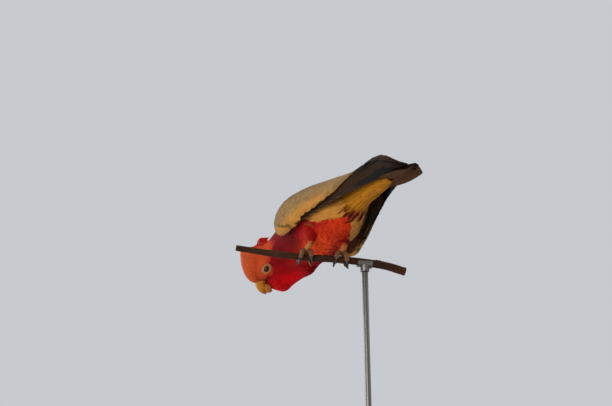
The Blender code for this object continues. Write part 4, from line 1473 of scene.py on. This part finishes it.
def eyeball(name, hand):
    """Rings round the ball's own axis: pupil, iris and a darker rim by the angle from it. A
    bell curve lifts the cornea.
    """
    angle, turn = np.linspace(0.02, np.pi - 0.02, BALL_RINGS)[:, None], full_turn(BALL_RINGS)
    dome = EYE_RADIUS * (1 + 0.05 * np.exp(-((angle / 0.5) ** 2)))
    ring = dome * np.sin(angle)
    left, back, up = EYE_AT
    out = left + dome * np.cos(angle)
    points = joined(hand * out, back + ring * np.cos(turn), up + ring * np.sin(turn))
    off = np.degrees(angle) + 0 * turn
    fibres = 0.8 + 0.4 * (0.5 + 0.5 * np.sin(turn * 22 + 2 * np.sin(turn * 5)))
    colours = mixed(PUPIL, IRIS * fibres[None, :, None], step(20, 23, off))
    colours = mixed(colours, SCLERA * 0.4, step(44, 50, off))
    faces = capped(BALL_RINGS, BALL_RINGS)
    piece(name, head_to_row(points), faces, wet_eye, (name,), {"tint": colours.reshape(-1, 3)})


def eye_ring(name, hand):
    """A closed band: over the top from the lid's rim to the outer edge, and back underneath.
    Sine waves across it are the wrinkles, and others round it make them uneven. The wrinkles'
    grooves are painted darker, as painted shade.
    """
    around, top = 72, 26
    q = np.linspace(0, 1, top)
    turn = full_turn(around)[:, None]
    long, high = OPENING[0] + 5.1 * q, OPENING[1] + 3.9 * q
    ahead, up = EYE_AHEAD + 0.5 * q + long * np.cos(turn), EYE_UP + high * np.sin(turn)
    opening = np.hypot(OPENING[0] * np.cos(turn), OPENING[1] * np.sin(turn))
    rim = EYE_AT[0] / MM + np.sqrt((EYE_RADIUS / MM) ** 2 - opening**2) + 0.3
    side = head_side(ahead, up) - 0.5
    level = rim + (side - rim) * step(0, 1, q) + 0.5 * np.sin(np.pi * np.clip(q / 0.28, 0, 1)) ** 2
    uneven = 1 + 0.35 * np.sin(turn * 7 + 3) + 0.25 * np.sin(turn * 13 + 9 * q)
    wrinkles = q * 30 + 0.8 * np.sin(turn * 5)
    level = level + 0.14 * np.sin(wrinkles) * uneven * step(0.25, 0.4, q) * step(1, 0.8, q)
    level = level - 1.2 * step(0.86, 1, q)
    upper = joined(hand * level, -ahead, up)
    lower = upper[:, ::-1] - (hand * RING_THICK, 0, 0)
    points = head_to_row(np.concatenate([upper, lower], axis=1) * MM)
    colour = mixed(mixed(RING_PALE, RING_TAN, step(0.5, 1, q)), LID_DARK, step(0.14, 0.02, q))
    # Painted shade: the wrinkles' grooves are darker.
    fold_shade = step(0.2, 1, np.sin(wrinkles + 2.6)) * step(0.25, 0.4, q)
    colour = colour * (1 - 0.35 * fold_shade)[..., None]
    colours = np.concatenate([colour, colour[:, ::-1]], axis=1).reshape(-1, 3)
    piece(name, points, grid_faces(around, 2 * top, True), bare_skin, (), {"tint": colours})


for name, hand in SIDES:
    eyeball(f"eye_{name}", hand)
    eye_ring(f"eye_ring_{name}", hand)

# %% [markdown]
# ## Bill
# The upper half is a deep hook that closes over a short scoop of a lower half. Both are horn
# wound about a pivot at the gape: at each angle a section has an inner and an outer distance
# and a half width. Horn grows in layers from its base and wears at its edges, so rings run
# across it, and the edge is thin. Feathers of the forehead and cheeks hide the base.

# %% Bill
UPPER_PIVOT, LOWER_PIVOT = (19, -5), (17, -5.5)  # ahead and up (mm) in the head's frame
UPPER_BILL = (
    (124, 0.3, 6.0, 8.6),
    (105, 0.4, 6.8, 9.6),
    (88, 0.5, 9, 10.6),
    (74, 0.7, 13.6, 11),
    (62, 1, 17.6, 10.6),
    (48, 1.2, 17.9, 10),
    (30, 1.8, 17.6, 9.6),
    (14, 2.4, 17.4, 8.8),
    (2, 4, 17.2, 7.6),
    (-8, 9, 17.1, 5),
    (-16, 12.8, 16.8, 2.7),
    (-22, 15.2, 16.5, 0.7),
)  # angle above ahead (degrees), inner and outer distance, half width (mm)
LOWER_BILL = (
    (24, 2, 8, 8.8),
    (8, 1.8, 12, 9.6),
    (-5, 1.6, 14.6, 9.8),
    (-17, 1.4, 16, 10),
    (-34, 1.2, 16, 10.2),
    (-50, 1, 15, 9.6),
)
HORN_PALE, HORN_TAN, HORN_DARK = (linear(x) for x in ("#a8661e", "#a25a1a", "#4a220e"))

# %% Horn finish
bill_horn, add, shader = new_material("layered horn", 0.42, **{"Specular IOR Level": 0.14})
layers = add("ShaderNodeAttribute", attribute_name="layers")
place = add("ShaderNodeTexCoord")
cloud = add("ShaderNodeTexNoise", {"Vector": place.outputs["Object"]}, {"Scale": 260.0, "Detail": 4.0})
cloud_and_layer = {0: cloud.outputs["Fac"], 2: layers.outputs["Fac"]}
waver = add("ShaderNodeMath", cloud_and_layer, {1: 1.2}, operation="MULTIPLY_ADD")
ringed = add("ShaderNodeMath", {0: waver.outputs[0]}, {1: 9.0}, operation="MULTIPLY")
rings = add("ShaderNodeMath", {0: ringed.outputs[0]}, operation="SINE")
ring_shade = {"From Min": -1.0, "To Min": 0.88, "To Max": 1.06}
shade = add("ShaderNodeMapRange", {"Value": rings.outputs[0]}, ring_shade)
clouded = add("ShaderNodeMapRange", {"Value": cloud.outputs["Fac"]}, {"To Min": 0.75, "To Max": 1.25})
both = add("ShaderNodeMath", {0: shade.outputs[0], 1: clouded.outputs[0]}, operation="MULTIPLY")
finish_tint(add, shader, both.outputs[0], rings.outputs[0], 0.3, 0.2 * MM)


# %% Halves of the bill


def bill_half(name, pivot, table, sharp):
    """Sections round the pivot: full sides near the outer ridge, drawn in to a thin cutting
    edge inside. The horn darkens to its tip and to its edge.
    """
    rows, around = 60, 40
    table = np.array(sorted(table), float)
    angle = np.linspace(table[0, 0], table[-1, 0], rows)
    inner, outer, half = smooth(table[:, 0], table[:, 1:], angle).T[..., None]
    turn = full_turn(around)
    cosine, sine = np.cos(turn), np.sin(turn)
    flat = np.sign(cosine) * np.abs(cosine) ** 0.9
    reach = (inner + outer) / 2 + (outer - inner) / 2 * flat
    thinned = np.where(cosine < 0, 1 - sharp * cosine**2, 1)
    left = half * np.sign(sine) * np.abs(sine) ** 0.7 * thinned
    rise = np.radians(angle)[:, None]
    wear = 0.12 * rough(joined(reach, left, rise * 12) * MM, 5, 3)
    reach = reach + wear
    ahead, up = pivot[0] + reach * np.cos(rise), pivot[1] + reach * np.sin(rise)
    points = head_to_row(joined(left, -ahead, up) * MM)
    tip = step(12, -18, angle)[:, None] if sharp > 0.5 else step(-30, -8, angle)[:, None]
    edge = step(0.6, 1.0, -cosine)[None]
    tanned = np.clip(tip + 0.5 * step(40, 80, angle)[:, None], 0, 1) + 0 * edge
    darkened = np.clip(edge * 0.6 + 0.35 * step(-14, -22, angle)[:, None], 0, 1)
    colours = mixed(mixed(HORN_PALE, HORN_TAN, tanned), HORN_DARK, darkened)
    layers_at = np.broadcast_to(angle[:, None] / 12, (rows, around)).ravel()
    piece(
        name, points, capped(rows, around), bill_horn, (name,),
        {"tint": colours.reshape(-1, 3), "layers": layers_at}, crease=60,
    )


bill_half("bill_upper", UPPER_PIVOT, UPPER_BILL, 0.65)
bill_half("bill_lower", LOWER_PIVOT, LOWER_BILL, 0.3)

# %% [markdown]
# ## Feet
# A parrot's foot grips with two toes ahead of the branch and two behind. The shank, the sole
# and the toes are tubes and a ball that melt into one skin. Scales ring the toes about two
# millimetres apart: every point of the skin finds the nearest toe and how far along it lies,
# and sinks a little in the grooves between the rings. The claws are curved, tapering horn.

# %% Branch line and tubes
BRANCH = (
    (160, -63, 312.5, 3.9),
    (114, -46, 306.5, 4.1),
    (73, -30, 302.5, 4.5),
    (29, -12, 300.5, 4.8),
    (0, 0, 297.7, 5),
    (-28, 10, 293.5, 5.2),
    (-52, 18, 287, 5.4),
)  # in the model's frame: x, y, z and radius (mm)
BRANCH_LINE = np.array(BRANCH, float) * MM
BRANCH_ALONG = np.append(0, np.cumsum(np.linalg.norm(np.diff(BRANCH_LINE[:, :3], axis=0), axis=1)))


def branch_at(along):
    """The branch's axis point and radius, this many metres from its left end."""
    values = smooth(BRANCH_ALONG, BRANCH_LINE, along)
    return values[..., :3], values[..., 3]


def tube(path, radii, around, reference):
    """Rings round a path: radius times cos to the side and sin upwards, from a fixed reference."""
    forward = unit(np.gradient(path, axis=0))
    side = unit(np.cross(forward, reference))
    up = np.cross(side, forward)
    turn = full_turn(around)[:, None]
    radii = np.broadcast_to(np.asarray(radii, float).reshape(len(path), -1, 1), (len(path), around, 1))
    return path[:, None] + radii * (np.cos(turn) * side[:, None] + np.sin(turn) * up[:, None])


print("branch length:", round(BRANCH_ALONG[-1] / MM), "mm")

# %% Scaly skin
scaly, add, shader = new_material("scaly leg skin", 0.6, **{"Specular IOR Level": 0.35})
place = add("ShaderNodeTexCoord")
cells = add(
    "ShaderNodeTexVoronoi", {"Vector": place.outputs["Object"]}, {"Scale": 1100.0}, feature="DISTANCE_TO_EDGE"
)
ditch = {"From Max": 0.12, "To Min": 0.6, "To Max": 1.1}
groove = add("ShaderNodeMapRange", {"Value": cells.outputs["Distance"]}, ditch)
finish_tint(add, shader, groove.outputs[0], groove.outputs[0], 0.6, 0.3 * MM)

claw_horn, add, shader = new_material("polished dark claw horn", 0.35)
place = add("ShaderNodeTexCoord")
streak = add("ShaderNodeTexNoise", {"Vector": place.outputs["Object"]}, {"Scale": 700.0})
dark_tip = add(
    "ShaderNodeMixRGB", {"Fac": streak.outputs["Fac"]}, {"Color1": rgba("#080504"), "Color2": rgba("#20140e")}
)
finish(shader, dark_tip.outputs["Color"])

# %% Feet and claws
TOES = ((3, 9, 1, 122), (-3, -7, 1, 105), (3.5, 8, -1, 112), (-3, -6.5, -1, 95))
# along the branch at root and tip (mm), 1 ahead of it or -1 behind, wrap (degrees)
GRIPS = {"left": 73 * MM, "right": 30 * MM}  # the model's x where each foot holds the branch
TOE_RADIUS, TOE_TIP_RADIUS, SHANK_RADIUS = 3.3 * MM, 2.7 * MM, 3.6 * MM
TOE_OPENING = 1.5 * MM
AIR = 0.3 * MM
FOOT_VOXEL = 0.45 * MM
SCALE_GAP, SCALE_GROOVE = 2.1 * MM, 0.34 * MM
TOE_COLOUR, TOE_DARK, SHANK_COLOUR = (linear(x) for x in ("#6e4520", "#23110a", "#b0621e"))


def grip(name):
    """Where a foot holds the branch: the axis point, the toes' distance from it, and the ways
    along the branch, up from it and ahead of it.
    """
    axis, radii = branch_at(np.linspace(0, BRANCH_ALONG[-1], 2000))
    i = int(np.argmin(np.abs(axis[:, 0] - GRIPS[name])))
    way = unit(axis[i - 1] - axis[i + 1])
    up = unit(np.array([0, 0, 1]) - way * way[2])
    return axis[i], radii[i] + AIR + TOE_RADIUS, way, up, np.cross(way, up)


def toe_path(name, side, toe, degrees):
    """A toe's middle line: an arc round the branch that opens a little and drifts along it."""
    centre, reach, way, up, ahead = grip(name)
    root, tip, hand, wrap = toe
    turn = np.radians(degrees)[:, None]
    out = reach + TOE_OPENING * degrees[:, None] / wrap
    offset = side * (root + (tip - root) * degrees[:, None] / wrap) * MM
    return centre + way * offset + out * (np.cos(turn) * up + np.sin(turn) * hand * ahead)


def nearest(at, lines):
    """For each point, how far along the nearest line it lies, and whether that is the shank."""
    best, travelled, shank = np.full(len(at), 1.0), np.zeros(len(at)), np.zeros(len(at))
    for path, length, is_shank in lines:
        apart = np.linalg.norm(at[:, None] - path[None], axis=-1)
        closer = apart.min(axis=1) < best
        best = np.where(closer, apart.min(axis=1), best)
        travelled = np.where(closer, length[apart.argmin(axis=1)], travelled)
        shank = np.where(closer, is_shank, shank)
    return travelled, shank


def foot(name, side):
    """Shank, sole and four toes melt into one skin, which sinks in grooves between scales."""
    centre, reach, way, up, _ = grip(name)
    hip, ankle = thigh_axis(name)
    down = unit(ankle - hip)
    sole = centre + up * (reach + TOE_RADIUS / 2)
    share = np.linspace(0, 1, 30)
    bent = bend(ankle - down * 4 * MM, ankle + down * 5 * MM, sole, share[:, None])
    forms = [tube(bent, SHANK_RADIUS * (1 + 0.22 * share**2), 20, way)]
    ball = np.linspace(0.05, np.pi - 0.05, 14)
    forms.append(tube(sole + np.cos(ball)[:, None] * way * 5.2 * MM, np.sin(ball) * 4.3 * MM, 20, up))
    lines = [(bent, np.linspace(0, np.linalg.norm(bent[-1] - bent[0]), 30), 1.0)]
    for toe in TOES:
        degrees = np.linspace(0, toe[3], 60)
        path = toe_path(name, side, toe, degrees)
        knuckles = 1 + 0.09 * np.sin(degrees / toe[3] * 3 * np.pi - 0.6) ** 2
        forms.append(tube(path, np.linspace(TOE_RADIUS, TOE_TIP_RADIUS, 60) * knuckles, 18, way))
        lines.append((path, degrees / 360 * 2 * np.pi * reach, 0.0))
    mesh = melted(f"foot_{name}", forms, FOOT_VOXEL)
    at, normal = as_points(mesh.vertices, "co"), as_points(mesh.vertex_normals, "vector")
    travelled, shank = nearest(at, lines)
    groove = np.exp(-(((travelled / SCALE_GAP) % 1 - 0.5) / 0.13) ** 2)
    to_axis = unit(centre + way * ((at - centre) @ way)[:, None] - at)
    inner = np.einsum("ij,ij->i", normal, to_axis)
    at = at + normal * (0.12 * MM - SCALE_GROOVE * groove * step(0.7, 0.1, inner))[:, None]
    mesh.vertices.foreach_set("co", at.astype(np.float32).ravel())
    dark = np.clip(groove * 0.7 + 0.3 * (1 - shank) * rough(at, 7, 5), 0, 1)
    paint(mesh, "tint", mixed(mixed(TOE_COLOUR, SHANK_COLOUR, shank * 0.8), TOE_DARK, dark))
    mesh.shade_smooth()
    settle(f"foot_{name}", mesh, scaly, (f"foot_{name}",))


# %% Claws
CLAW_REACH = 52  # degrees past the toe's end
CLAW_RADIUS = 0.95 * MM


def claws(name, side):
    """Tubes that carry on round the branch from each toe's end and taper to a point."""
    points, faces = [], []
    rows, around = 22, 14
    taper = 0.2 + 1.7 * np.clip(1 - np.linspace(0, 1, rows), 0, 1) ** 0.6
    for number, toe in enumerate(TOES):
        degrees = np.linspace(toe[3] - 6, toe[3] + CLAW_REACH, rows)
        path = toe_path(name, side, toe, degrees)
        points.append(tube(path, taper * CLAW_RADIUS, around, grip(name)[2]).reshape(-1, 3))
        faces.append(capped(rows, around) + number * rows * around)
    replaced = [f"claw_{name}_{number}" for number in (1, 2, 3, 4)]
    piece(f"claws_{name}", np.concatenate(points), np.concatenate(faces), claw_horn, replaced)


for name, side in SIDES:
    foot(name, side)
    claws(name, side)

# %% [markdown]
# ## Branch
# The perch is a cut piece of a thin dead branch. Its bark has long ridges, rings where side
# twigs broke off, and a slow waver in its girth. Its colour is painted darker in the hollows
# and lighter on the ridges, as shade and light. The ends are sawn: the last rings of the
# grid close on the middle of a flat face, which wears the pale wood instead of the bark.

# %% Bark finish
bark, add, shader = new_material("rough thin bark and sawn wood", 0.9, **{"Specular IOR Level": 0.2})
sawn = add("ShaderNodeAttribute", attribute_name="sawn")
relief_shade_at = add("ShaderNodeAttribute", attribute_name="relief")
place = add("ShaderNodeTexCoord")
rugged = {"Scale": 420.0, "Detail": 6.0, "Roughness": 0.65}
flakes = add("ShaderNodeTexNoise", {"Vector": place.outputs["Object"]}, rugged)
patches = add("ShaderNodeTexNoise", {"Vector": place.outputs["Object"]}, {"Scale": 55.0, "Detail": 3.0})
browns = {"Color1": rgba("#1c0c05"), "Color2": rgba("#45240f")}
brown = add("ShaderNodeMixRGB", {"Fac": patches.outputs["Fac"]}, browns)
sharpened = {"From Min": 0.3, "From Max": 0.7, "To Min": 0.55, "To Max": 1.3}
grain = add("ShaderNodeMapRange", {"Value": flakes.outputs["Fac"]}, sharpened)
# Painted shade and light: the bark's colour times its relief, darker in the hollows and lighter on the
# ridges.
deep = add("ShaderNodeMath", {0: grain.outputs[0], 1: relief_shade_at.outputs["Fac"]}, operation="MULTIPLY")
dry = add("ShaderNodeVectorMath", {0: brown.outputs["Color"], "Scale": deep.outputs[0]}, operation="SCALE")
wood_cut = add(
    "ShaderNodeMixRGB", {"Fac": sawn.outputs["Fac"], "Color1": dry.outputs[0]}, {"Color2": rgba("#b98a54")}
)
bumps = add("ShaderNodeBump", {"Height": flakes.outputs["Fac"]}, {"Strength": 0.7, "Distance": 0.0006})
finish(shader, wood_cut.outputs["Color"], bumps)


# %% Branch
TWIG_SCARS = (
    (0.022, 1.0, 1.1),
    (0.058, 4.1, 0.8),
    (0.118, 2.0, 1),
    (0.142, 5.2, 0.9),
    (0.19, 1.4, 1.2),
    (0.215, 3.6, 0.9),
)  # along the branch (m), round it (radians), size


def branch():
    """Rings along the branch line; radius times one plus ridges, waver and twig scars. Where
    the cradle holds it, the bark is smooth.
    """
    rows, around, cap = 300, 64, 6
    along = np.linspace(0, BRANCH_ALONG[-1], rows)
    axis, radius = branch_at(along)
    turn = full_turn(around)
    spiral = turn + along[:, None] * 9
    ring = joined(np.cos(spiral), np.sin(spiral), along[:, None] * 12)
    ridge = rough(ring * 6 * MM, 4, 7) * 0.05 + rough(ring * 6 * MM * (1, 1, 4), 2.5, 8) * 0.03
    waver = rough(ring * MM * (1, 1, 90), 60, 9) * 0.04
    scars = np.zeros((rows, around))
    for place, angle, size in TWIG_SCARS:
        round_scar = np.angle(np.exp(1j * (turn - angle))) * 1.6
        far = np.hypot((along[:, None] - place) / (3 * MM), round_scar) / size
        scars += 0.3 * np.exp(-((far / 0.8) ** 2)) - 0.22 * np.exp(-((far / 0.35) ** 2))
    held = np.exp(-(((along[:, None] - BRANCH_ALONG[4]) / (12 * MM)) ** 4))
    bulge = (ridge + waver + scars) * (1 - held)
    body = tube(axis, radius[:, None] * (0.985 + bulge), around, (0, 0, 1))
    shrink = np.linspace(0.97, 0.02, cap)
    first, last = (
        end.mean(axis=0) + (end - end.mean(axis=0)) * shrink[:, None, None] for end in (body[0], body[-1])
    )
    points = np.concatenate([first[::-1], body, last])
    rings = 1 + 0.25 * np.sin(shrink * 14)
    sawn_at = np.concatenate([rings[::-1] * 0.8, np.zeros(rows), rings * 0.8])
    plain = np.ones((cap, around))
    # Painted shade and light: darker where the bark sinks, lighter where it bulges.
    relief = np.concatenate([plain, np.clip(1 + 5 * bulge, 0.4, 1.5), plain])
    piece(
        "branch", points, capped(rows + 2 * cap, around), bark, ("branch",),
        {"sawn": np.repeat(sawn_at, around), "relief": relief.ravel()},
    )


branch()

# %% [markdown]
# ## Stand
# A round, turned base of dark stained wood carries a steel rod with a cradle on top. The
# base's profile gets a small bead and a hollow above its foot. Brushed steel is a metal with
# a middling roughness, and the stain lets the wood's rings show through as fine stripes.

# %% Stand
varnish = {"Coat Weight": 0.2, "Coat Roughness": 0.3}
stained, add, shader = new_material("dark stained turned wood", 0.42, **varnish)
place = add("ShaderNodeTexCoord")
stretch = add("ShaderNodeMapping", {"Vector": place.outputs["Object"]}, {"Scale": (1.0, 9.0, 9.0)})
uneven = {"Scale": 14.0, "Detail": 6.0, "Distortion": 0.4}
figure = add("ShaderNodeTexNoise", {"Vector": stretch.outputs["Vector"]}, uneven)
stain = add(
    "ShaderNodeMixRGB", {"Fac": figure.outputs["Fac"]}, {"Color1": rgba("#140b07"), "Color2": rgba("#4a2a18")}
)
pores = add("ShaderNodeBump", {"Height": figure.outputs["Fac"]}, {"Strength": 0.15, "Distance": 0.0005})
finish(shader, stain.outputs["Color"], pores)

steel, add, shader = new_material("brushed steel", 0.38, Metallic=1.0)
place = add("ShaderNodeTexCoord")
squeeze = add("ShaderNodeMapping", {"Vector": place.outputs["Object"]}, {"Scale": (1.0, 1.0, 60.0)})
brushing = add("ShaderNodeTexNoise", {"Vector": squeeze.outputs["Vector"]}, {"Scale": 60.0, "Detail": 2.0})
greys = {"Color1": rgba("#55534f"), "Color2": rgba("#7d7a75")}
grey = add("ShaderNodeMixRGB", {"Fac": brushing.outputs["Fac"]}, greys)
finish(shader, grey.outputs["Color"])

BASE_PROFILE = (
    (2, 0), (95, 0), (95, 5), (94.2, 6.2), (91.5, 7), (91.2, 8), (93, 9), (93.4, 11), (92, 13.6),
    (88.5, 15.4), (84, 16), (40, 16), (2, 16),
)  # radius and height (mm)


def turned_on_axis(name, profile, around, material, replaces):
    """A profile of radius and height (mm) carried round the vertical axis."""
    radius, height = np.array(profile, float).T[..., None] * MM
    turn = full_turn(around)
    points = joined(radius * np.cos(turn), radius * np.sin(turn), height)
    piece(name, points, capped(len(profile), around), material, replaces, crease=25)


turned_on_axis("stand_base_turned", BASE_PROFILE, 128, stained, ("stand_base",))
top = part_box("stand_rod")[1][2] / MM
ROD_PROFILE = (
    (1, 16.3), (14.6, 16.3), (15, 16.7), (15, 18.6), (14.4, 19.3), (7, 19.5), (5, 20.2), (4.2, 21.5), (4, 24),
    (4, top - 1), (3.6, top), (1, top),
)  # radius and height (mm)
turned_on_axis("stand_rod_turned", ROD_PROFILE, 48, steel, ("stand_rod",))
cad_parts["stand_cradle"].data.materials.clear()
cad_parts["stand_cradle"].data.materials.append(steel)

# %% [markdown]
# ## Floor and light
# A plain pale floor meets a soft studio light: one large panel above, and lower ones that
# reach the bird's underside from the camera's side.

# %% Floor and light
floor_material, add, shader = new_material("matt painted board", 0.9)
shader.inputs["Base Color"].default_value = rgba("#d9d6d0")
floor_mesh = bpy.data.meshes.new("floor")
reach = 40.0
corners = [(-reach, -reach, 0), (reach, -reach, 0), (reach, reach, 0), (-reach, reach, 0)]
floor_mesh.from_pydata(corners, [], [(0, 1, 2, 3)])
floor_mesh.materials.append(floor_material)
floor = bpy.data.objects.new("floor", floor_mesh)
bpy.context.scene.collection.objects.link(floor)

bird_centre = to_row((0, 0, 0))


def panel(name, offset, size, watts):
    """A square area light at an offset from the bird, turned to face it."""
    light = bpy.data.lights.new(name, "AREA")
    light.size = size
    light.energy = watts
    made = bpy.data.objects.new(name, light)
    made.location = bird_centre + np.array(offset)
    away = np.array(offset) / np.linalg.norm(offset)
    sideways = unit(np.cross((0, 0, 1), away) + (1e-6, 0, 0))
    turned = Matrix(np.stack([sideways, np.cross(away, sideways), away], axis=1).tolist())
    made.rotation_euler = turned.to_euler()
    bpy.context.scene.collection.objects.link(made)


# name, offset from the bird (m), size (m), power (W)
panel("light_above", (0.6, 0.2, 1.6), 1.6, 8)
panel("light_low_left", (1.3, 0.9, 0.05), 0.9, 14)
panel("light_low_front", (0.7, -1.1, 0.1), 0.9, 12)
panel("light_right", (-1.5, 0.5, 0.7), 1.2, 5)
world = bpy.data.worlds.new("studio")
bpy.context.scene.world = world
world.use_nodes = True
world.node_tree.nodes["Background"].inputs["Color"].default_value = rgba("#e9edf2")
world.node_tree.nodes["Background"].inputs["Strength"].default_value = 0.7
bpy.context.scene.view_settings.view_transform = "Standard"
